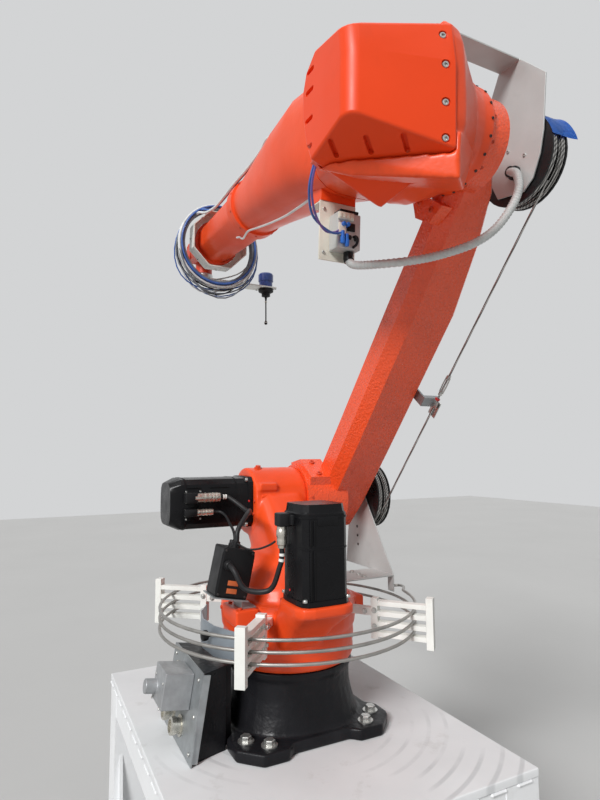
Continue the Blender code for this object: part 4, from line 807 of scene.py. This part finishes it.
def make_turret_detail():
    hexes = bmesh.new()
    for angle in COMB_ANGLES:
        turn = turned(angle, "Z")
        side = turn.to_3x3() @ Vector(LEFT)
        for reach, wide, z in ((0.255, 0.0122, 0.311), (0.255, 0.0122, 0.27), (0.228, 0.0098, 0.3065)):
            hex_bolt(hexes, turn @ Vector((reach, wide, z)), side, 0.005)
            hex_bolt(hexes, turn @ Vector((reach, -wide, z)), -side, 0.005)
    for x in (0.045, 0.02):
        hex_bolt(hexes, (x, -0.1965, 0.316), RIGHT, 0.0055)
    for x in (0.03, 0.06, 0.1):
        hex_bolt(hexes, (x, -0.275, 0.3422), UP, 0.006)
    piece("comb_bolts", hexes, "turret", "bolt")

    knob = bmesh.new()
    lathe(knob, (-0.04, 0.2432, 0.262), (-0.16, 0.98, 0), [
        (0.006, 0), (0.006, 0.006), (0.0125, 0.008), (0.0135, 0.014), (0.012, 0.021), (0.007, 0.023),
        (0, 0.0235)], 20)
    piece("guide_knob", knob, "turret", "box_black")

    painted = bmesh.new()
    for c, s in spokes(16, 0.5):
        at, normal = seat("turret_casting", (0.26 * c, 0.26 * s, 0.306), (-c, -s, 0), "turret")
        if abs(hypot(at.x, at.y) - 0.19) < 0.006:
            cap_screw(painted, at, normal, 0.005, 0.003)
    at, normal = seat("turret_casting", (0.18, 0.02, 0.78), DOWN, "turret")
    lathe(painted, at, normal, [(0.013, 0), (0.013, 0.003), (0.009, 0.004), (0.009, 0.009), (0, 0.01)], 6)
    for angle in (178, 204, 334):
        c, s = polar(angle)
        cap_screw(painted, (HUB_X + 0.088 * c, 0.0582, HUB_Z + 0.088 * s), LEFT, 0.005, 0.003)
    for x in (-0.12, -0.046):
        cap_screw(painted, (x, 0.19, 0.3362), UP, 0.0055, 0.004)
    piece("turret_screws", painted, "turret", "orange_bolt")
    ribs = bmesh.new()
    brick(ribs, (0.099, 0.013, 0.56), (0.018, 0.05, 0.026), 0.005)
    brick(ribs, (0.104, 0.013, 0.596), (0.018, 0.056, 0.01), 0.003)
    piece("hub_ribs", ribs, "turret", "orange")


def winding(bm, centre):
    """Wire wound on a reel's core in two layers, open in the middle where the taut wire runs on."""
    around = spokes(44)
    around.append(around[0])
    for radius, places in ((REEL_CORE + 0.003, (-0.019, -0.013, -0.007, 0.007, 0.013, 0.019)),
                           (REEL_CORE + 0.008, (-0.016, -0.01, 0.01, 0.016))):
        for place in places:
            sweep(bm, [centre + Vector((radius * c, place, radius * s)) for c, s in around], 0.0029, 6)


def make_reel_detail():
    reels = (("lower_reel", "turret", Vector((HUB_X, -REEL_OFFSET, HUB_Z))),
             ("upper_reel", "forearm", Vector((0, -REEL_OFFSET, 0))))
    for name, body, centre in reels:
        wound = bmesh.new()
        winding(wound, centre)
        piece(name + "_winding", wound, body, "rope", 60.0)
    for name, body, centre in reels:
        fixings = bmesh.new()
        outer = centre + Vector((0, -REEL_HALF - 0.0002, 0))
        lathe(fixings, outer, RIGHT, [(0.034, 0), (0.034, 0.003), (0.022, 0.004)], 28)
        hex_bolt(fixings, outer + Vector((0, -0.004, 0)), RIGHT, 0.0125, False)
        for c, s in spokes(6):
            cap_screw(fixings, outer + Vector((0.062 * c, 0, 0.062 * s)), RIGHT, 0.005, 0.004)
        for c, s in spokes(3, 0.5):
            cap_screw(fixings, centre + Vector((0.034 * c, 0.0322, 0.034 * s)), LEFT, 0.0042, 0.003)
        piece(name + "_fixings", fixings, body, "bolt")
    # Dark discs of painted shade where the plate has holes
    hole_shade_discs = bmesh.new()
    for x, z in ((0.214, 0.47), (0.212, 0.44), (0.21, 0.41)):
        disc(hole_shade_discs, (x, -0.3698, z), LEFT, 0.0048, 0.0004)
    piece("plate_hole_shade", hole_shade_discs, "turret", "hole_shade")
    tape = bmesh.new()
    rows = []
    for radius, side in ((0.116, -0.054), (0.1132, -0.04), (0.1116, -0.026), (0.1118, -0.008),
                         (0.1115, 0.01), (0.111, 0.026)):
        row = []
        for k in range(21):
            angle = 124 + 2.2 * k
            c, s = polar(angle)
            reach = radius + 0.0006 * sin(radians(9 * angle))
            row.append(tape.verts.new((reach * c, side - REEL_OFFSET, reach * s)))
        rows.append(row)
    for low, high in zip(rows, rows[1:]):
        for k in range(20):
            tape.faces.new((low[k], low[k + 1], high[k + 1], high[k]))
    bmesh.ops.solidify(tape, geom=tape.faces[:], thickness=-0.0006)
    piece("blue_tape", tape, "forearm", "tape", 60.0)


def make_link_detail():
    painted = bmesh.new()
    seat_screws(painted, "link_arm", "link_arm", DOWN,
                [(0.04, -0.16, 0.3), (-0.02, -0.16, 0.3)], 0.008, 0.006)
    seat_screws(painted, "link_arm", "link_arm", RIGHT,
                [(-0.03, -0.05, 0.985), (0.025, -0.05, 0.985)], 0.0075, 0.005)
    for c, s in spokes(12, 0.5):
        for y, z, reach in ((-0.13, 0.0, 0.1102), (-0.2, LINK_LENGTH, 0.1062)):
            cap_screw(painted, (reach * c, y, z + reach * s), (c, 0, s), 0.004, 0.002)
    piece("link_screws", painted, "link_arm", "orange_bolt")

    buckle = bmesh.new()
    x, y = -0.1015, -REEL_OFFSET
    for z in (0.5, 0.556):
        disc(buckle, (x, y, z), UP, 0.0062, 0.012, 6)
    for shift in (-0.0075, 0.0075):
        sweep(buckle, [(x + shift, y, 0.508), (x + shift * 1.2, y, 0.535), (x + shift, y, 0.562)], 0.002)
    brick(buckle, (x, y - 0.0048, 0.452), (0.034, 0.0024, 0.052), 0.0008)
    brick(buckle, (x, y + 0.0058, 0.47), (0.03, 0.0024, 0.024), 0.0008)
    for z in (0.436, 0.468):
        for shift in (0.01, -0.01):
            hex_bolt(buckle, (x + shift, y - 0.006, z), RIGHT, 0.0042, False)
    piece("wire_turnbuckle", buckle, "link_arm", "bolt")
    sleeve = bmesh.new()
    brick(sleeve, (x + 0.001, y, 0.484), (0.012, 0.012, 0.008), 0.002)
    piece("wire_red_sleeve", sleeve, "link_arm", "red")


def capsule(bm, where, length, wide, deep):
    """A slot-shaped cutter in a frame, with its length along X."""
    ring = [(copysign(length / 2 - wide / 2, c) + wide / 2 * c, wide / 2 * s) for c, s in spokes(20)]
    skin(bm, [[bm.verts.new(where @ Vector((x, y, z))) for x, y in ring] for z in (-deep, 0.02)])


def make_cover():
    """The moulded elbow cover with rounded edges and its recessed screw pockets cut in."""
    shell = bmesh.new()
    shell.from_mesh(nodes["elbow_cover"].data)
    bmesh.ops.remove_doubles(shell, verts=shell.verts, dist=0.00002)
    bmesh.ops.dissolve_limit(shell, angle_limit=radians(0.4), verts=shell.verts, edges=shell.edges)
    obj = settle("cover_shell", shell)
    bevel(obj, 0.009, 4, 14)
    cutter = bmesh.new()
    pockets = []
    for z in (0.078, 0.016, -0.057, -0.126):
        at, normal = seat("elbow_cover", (-0.4, 0.0125, z), AHEAD, "forearm")
        capsule(cutter, facing(at, normal), 0.0182, 0.018, 0.005)
        pockets.append((at - normal * 0.005, normal))
    for x, y in ((-0.052, 0.1715), (-0.1016, 0.1228), (-0.149, 0.0713)):
        at, normal = seat("elbow_cover", (x, y, -0.3), UP, "forearm")
        slope = (Vector(UP) - normal.z * normal).normalized()
        turn = Matrix((slope, normal.cross(slope), normal)).transposed().to_4x4()
        capsule(cutter, moved(at) @ turn, 0.046, 0.0115, 0.012)
    for z in (0.06, 0.018, -0.042, -0.1):
        where = facing(*seat("elbow_cover", (0.012, 0.4, z), RIGHT, "forearm"))
        capsule(cutter, where, 0.034, 0.011, 0.008)
    bmesh.ops.recalc_face_normals(cutter, faces=cutter.faces)
    slots = settle("cover_pockets", cutter, AXIS_3)
    hollow = obj.modifiers.new("pockets", "BOOLEAN")
    hollow.operation = "DIFFERENCE"
    hollow.solver = "EXACT"
    hollow.object = slots
    bpy.context.view_layer.update()
    final = bpy.data.meshes.new_from_object(obj.evaluated_get(bpy.context.evaluated_depsgraph_get()))
    obj.modifiers.clear()
    bpy.data.objects.remove(slots, do_unlink=True)
    final.name = "cover_shell_final"
    obj.data = final
    slot, _, material = FINISHES["cover"]
    final.materials.clear()
    final.materials.append(material)
    final.shade_smooth()
    final.set_sharp_from_angle(angle=radians(28))
    obj.modifiers.new("even", "WEIGHTED_NORMAL").keep_sharp = True
    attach(obj, "forearm")
    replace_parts(obj, "elbow_cover")
    screws = bmesh.new()
    for at, normal in pockets:
        cap_screw(screws, at, normal, 0.0066, 0.0046)
    piece("cover_screws", screws, "forearm", "bolt")


def make_elbow_detail():
    ring = bmesh.new()
    for c, s in spokes(20):
        cap_screw(ring, (0.1182 * c, -0.18, 0.1182 * s), (c, 0, s), 0.0034, 0.0016)
    piece("knuckle_screws", ring, "forearm", "dark_bolt")
    painted = bmesh.new()
    for c, s in spokes(10, 0.5):
        at, normal = seat("forearm_casting", (0.775, 0.2 * c, RISE + 0.2 * s), (0, -c, -s), "forearm")
        cap_screw(painted, at + Vector((0.01, 0, 0)), normal, 0.0042, 0.0016)
    piece("flange_screws", painted, "forearm", "orange_bolt")

    # Dark discs of painted shade in the holes round the tube's collar
    hole_shade_discs = bmesh.new()
    for c, s in spokes(20, 0.5):
        disc(hole_shade_discs, (TUBE_END - 0.02, 0.0918 * c, RISE + 0.0918 * s), (0, c, s), 0.0052, 0.0006, 12)
    piece("collar_hole_shade", hole_shade_discs, "forearm", "hole_shade")

    screws = bmesh.new()
    flat = HOOD_RADIUS * cos(pi / 8) + 0.0002
    for c, s in spokes(8):
        cap_screw(screws, (HOOD_START + 0.056, flat * c, RISE + flat * s), (0, c, s), 0.0034, 0.002)
    seat_screws(screws, "valve_plate", "forearm", AHEAD, [
        (0.1, side * 0.04, z) for z in (-0.125, -0.235) for side in SIDES], 0.0042, 0.003)
    for x in (-0.006, 0.042):
        cap_screw(screws, (x, -0.114, 0.228), RIGHT, 0.005, 0.004)
    piece("forearm_screws", screws, "forearm", "bolt")

    module = bmesh.new()
    brick(module, (0.177, -0.012, -0.178), (0.0036, 0.022, 0.02), 0.001)
    sweep(module, route([(0.179, -0.02, -0.2), (0.17, -0.022, -0.201), (0.164, -0.024, -0.21),
                         (0.168, -0.022, -0.222), (0.18, -0.02, -0.226)], 16), 0.0034)
    brick(module, (0.195, -0.008, -0.1385), (0.034, 0.052, 0.007), 0.0015)
    for y in (-0.026, -0.006, 0.012):
        lathe(module, (0.1785, y, -0.205), BACK, [(0.006, 0), (0.006, 0.008), (0.0045, 0.009)], 6)
    piece("valve_details", module, "forearm", "box_black")
    pale = bmesh.new()
    brick(pale, (0.1755, 0.004, -0.153), (0.0064, 0.044, 0.018), 0.0015)
    for y in (-0.012, -0.001, 0.01, 0.021):
        brick(pale, (0.1712, y, -0.153), (0.0034, 0.007, 0.012), 0.001)
    brick(pale, (0.1765, 0.014, -0.186), (0.0048, 0.02, 0.03), 0.0012)
    piece("valve_manifold", pale, "forearm", "cream")
    blue = bmesh.new()
    for y, z in ((0.014, -0.222), (0.002, -0.228)):
        lathe(blue, (0.172, y, z), UP, [
            (0.0046, 0), (0.006, 0.003), (0.006, 0.016), (0.0044, 0.018), (0.0044, 0.03)], 14)
    for y in (0.012, 0.0):
        lathe(blue, (0.1785, y, -0.174), BACK, [(0.0055, 0), (0.0055, 0.01), (0.004, 0.012)], 14)
    piece("blue_fittings", blue, "forearm", "tape")


def make_wrist_detail():
    painted = bmesh.new()
    for side in SIDES:
        out = (0, side, 0)
        lathe(painted, (WRIST_X, side * 0.0664, 0), out, [(0.036, 0), (0.036, 0.004), (0.032, 0.006)], 24)
        for c, s in spokes(6):
            cap_screw(painted, (WRIST_X + 0.027 * c, side * 0.0722, 0.027 * s), out, 0.0034, 0.002)
    piece("wrist_caps", painted, "wrist_roll", "wrist")
    bolts = bmesh.new()
    for c, s in spokes(6):
        cap_screw(bolts, (FLANGE_FACE + 0.0062, 0.026 * c, 0.026 * s), AHEAD, 0.0036, 0.003)
    for y, z in ((-0.338, 0.026), (-0.262, 0.026), (-0.338, -0.026), (-0.262, -0.026)):
        cap_screw(bolts, (PROBE_FACE, y, z), AHEAD, 0.0032, 0.003)
    piece("tool_screws", bolts, "tool", "bolt")
    collars = bmesh.new()
    disc(collars, (PROBE_FACE + 0.058, PROBE_Y, 0), AHEAD, 0.0055, 0.006, 14)
    disc(collars, (PROBE_FACE + 0.157, PROBE_Y, 0), AHEAD, 0.0076, 0.003, 14)
    piece("probe_collars", collars, "tool", "nickel")


def make_stage():
    """A plain floor, three soft lights, and a backdrop that looks brighter than the light it gives."""
    floor = bmesh.new()
    bmesh.ops.create_grid(floor, x_segments=8, y_segments=8, size=14.0)
    obj = settle("studio_floor", floor)
    obj.data.materials.append(surface("studio_floor", (0.54, 0.54, 0.535), 0.8, mottle=0.02, patch=0.8,
                                      gloss=0.04, grain=0.05))

    for name, strength, spread, direction in (("overhead", 0.75, 60.0, (0.2, -0.15, -1.0)),
                                              ("left_key", 3.0, 18.0, (0.48, -0.72, -0.58)),
                                              ("far_side", 0.25, 70.0, (-0.8, 0.9, -0.5))):
        data = bpy.data.lights.new(name, "SUN")
        data.energy = strength
        data.angle = radians(spread)
        lamp = bpy.data.objects.new(name, data)
        lamp.rotation_mode = "QUATERNION"
        lamp.rotation_quaternion = Vector(direction).to_track_quat("-Z", "Y")
        scene.collection.objects.link(lamp)

    world = bpy.data.worlds.new("studio")
    scene.world = world
    world.use_nodes = True
    tree = world.node_tree

    def joined(kind, *sources):
        node = tree.nodes.new(kind)
        for socket, source in zip(node.inputs, sources):
            tree.links.new(source, socket)
        return node

    plain = fill(tree.nodes["Background"], {"Color": (1, 0.99, 0.97, 1), "Strength": 0.13})
    seen = fill(tree.nodes.new("ShaderNodeBackground"), {"Color": (0.93, 0.94, 0.95, 1), "Strength": 0.7})
    rays = tree.nodes.new("ShaderNodeLightPath")
    direct = joined("ShaderNodeMath", rays.outputs["Is Camera Ray"], rays.outputs["Is Glossy Ray"])
    every = joined("ShaderNodeMath", direct.outputs[0], rays.outputs["Is Transmission Ray"])
    direct.operation = every.operation = "MAXIMUM"
    mixed = joined("ShaderNodeMixShader", every.outputs[0], plain.outputs[0], seen.outputs[0])
    tree.links.new(mixed.outputs[0], tree.nodes["World Output"].inputs["Surface"])
    scene.view_settings.view_transform = "Standard"


make_camera()
make_motor_leads()
make_turret_cable()
make_conduit()
make_service_hoses()
make_stand_detail()
make_motor_detail()
make_junction_detail()
make_turret_detail()
make_reel_detail()
make_link_detail()
make_cover()
make_elbow_detail()
make_wrist_detail()
make_stage()
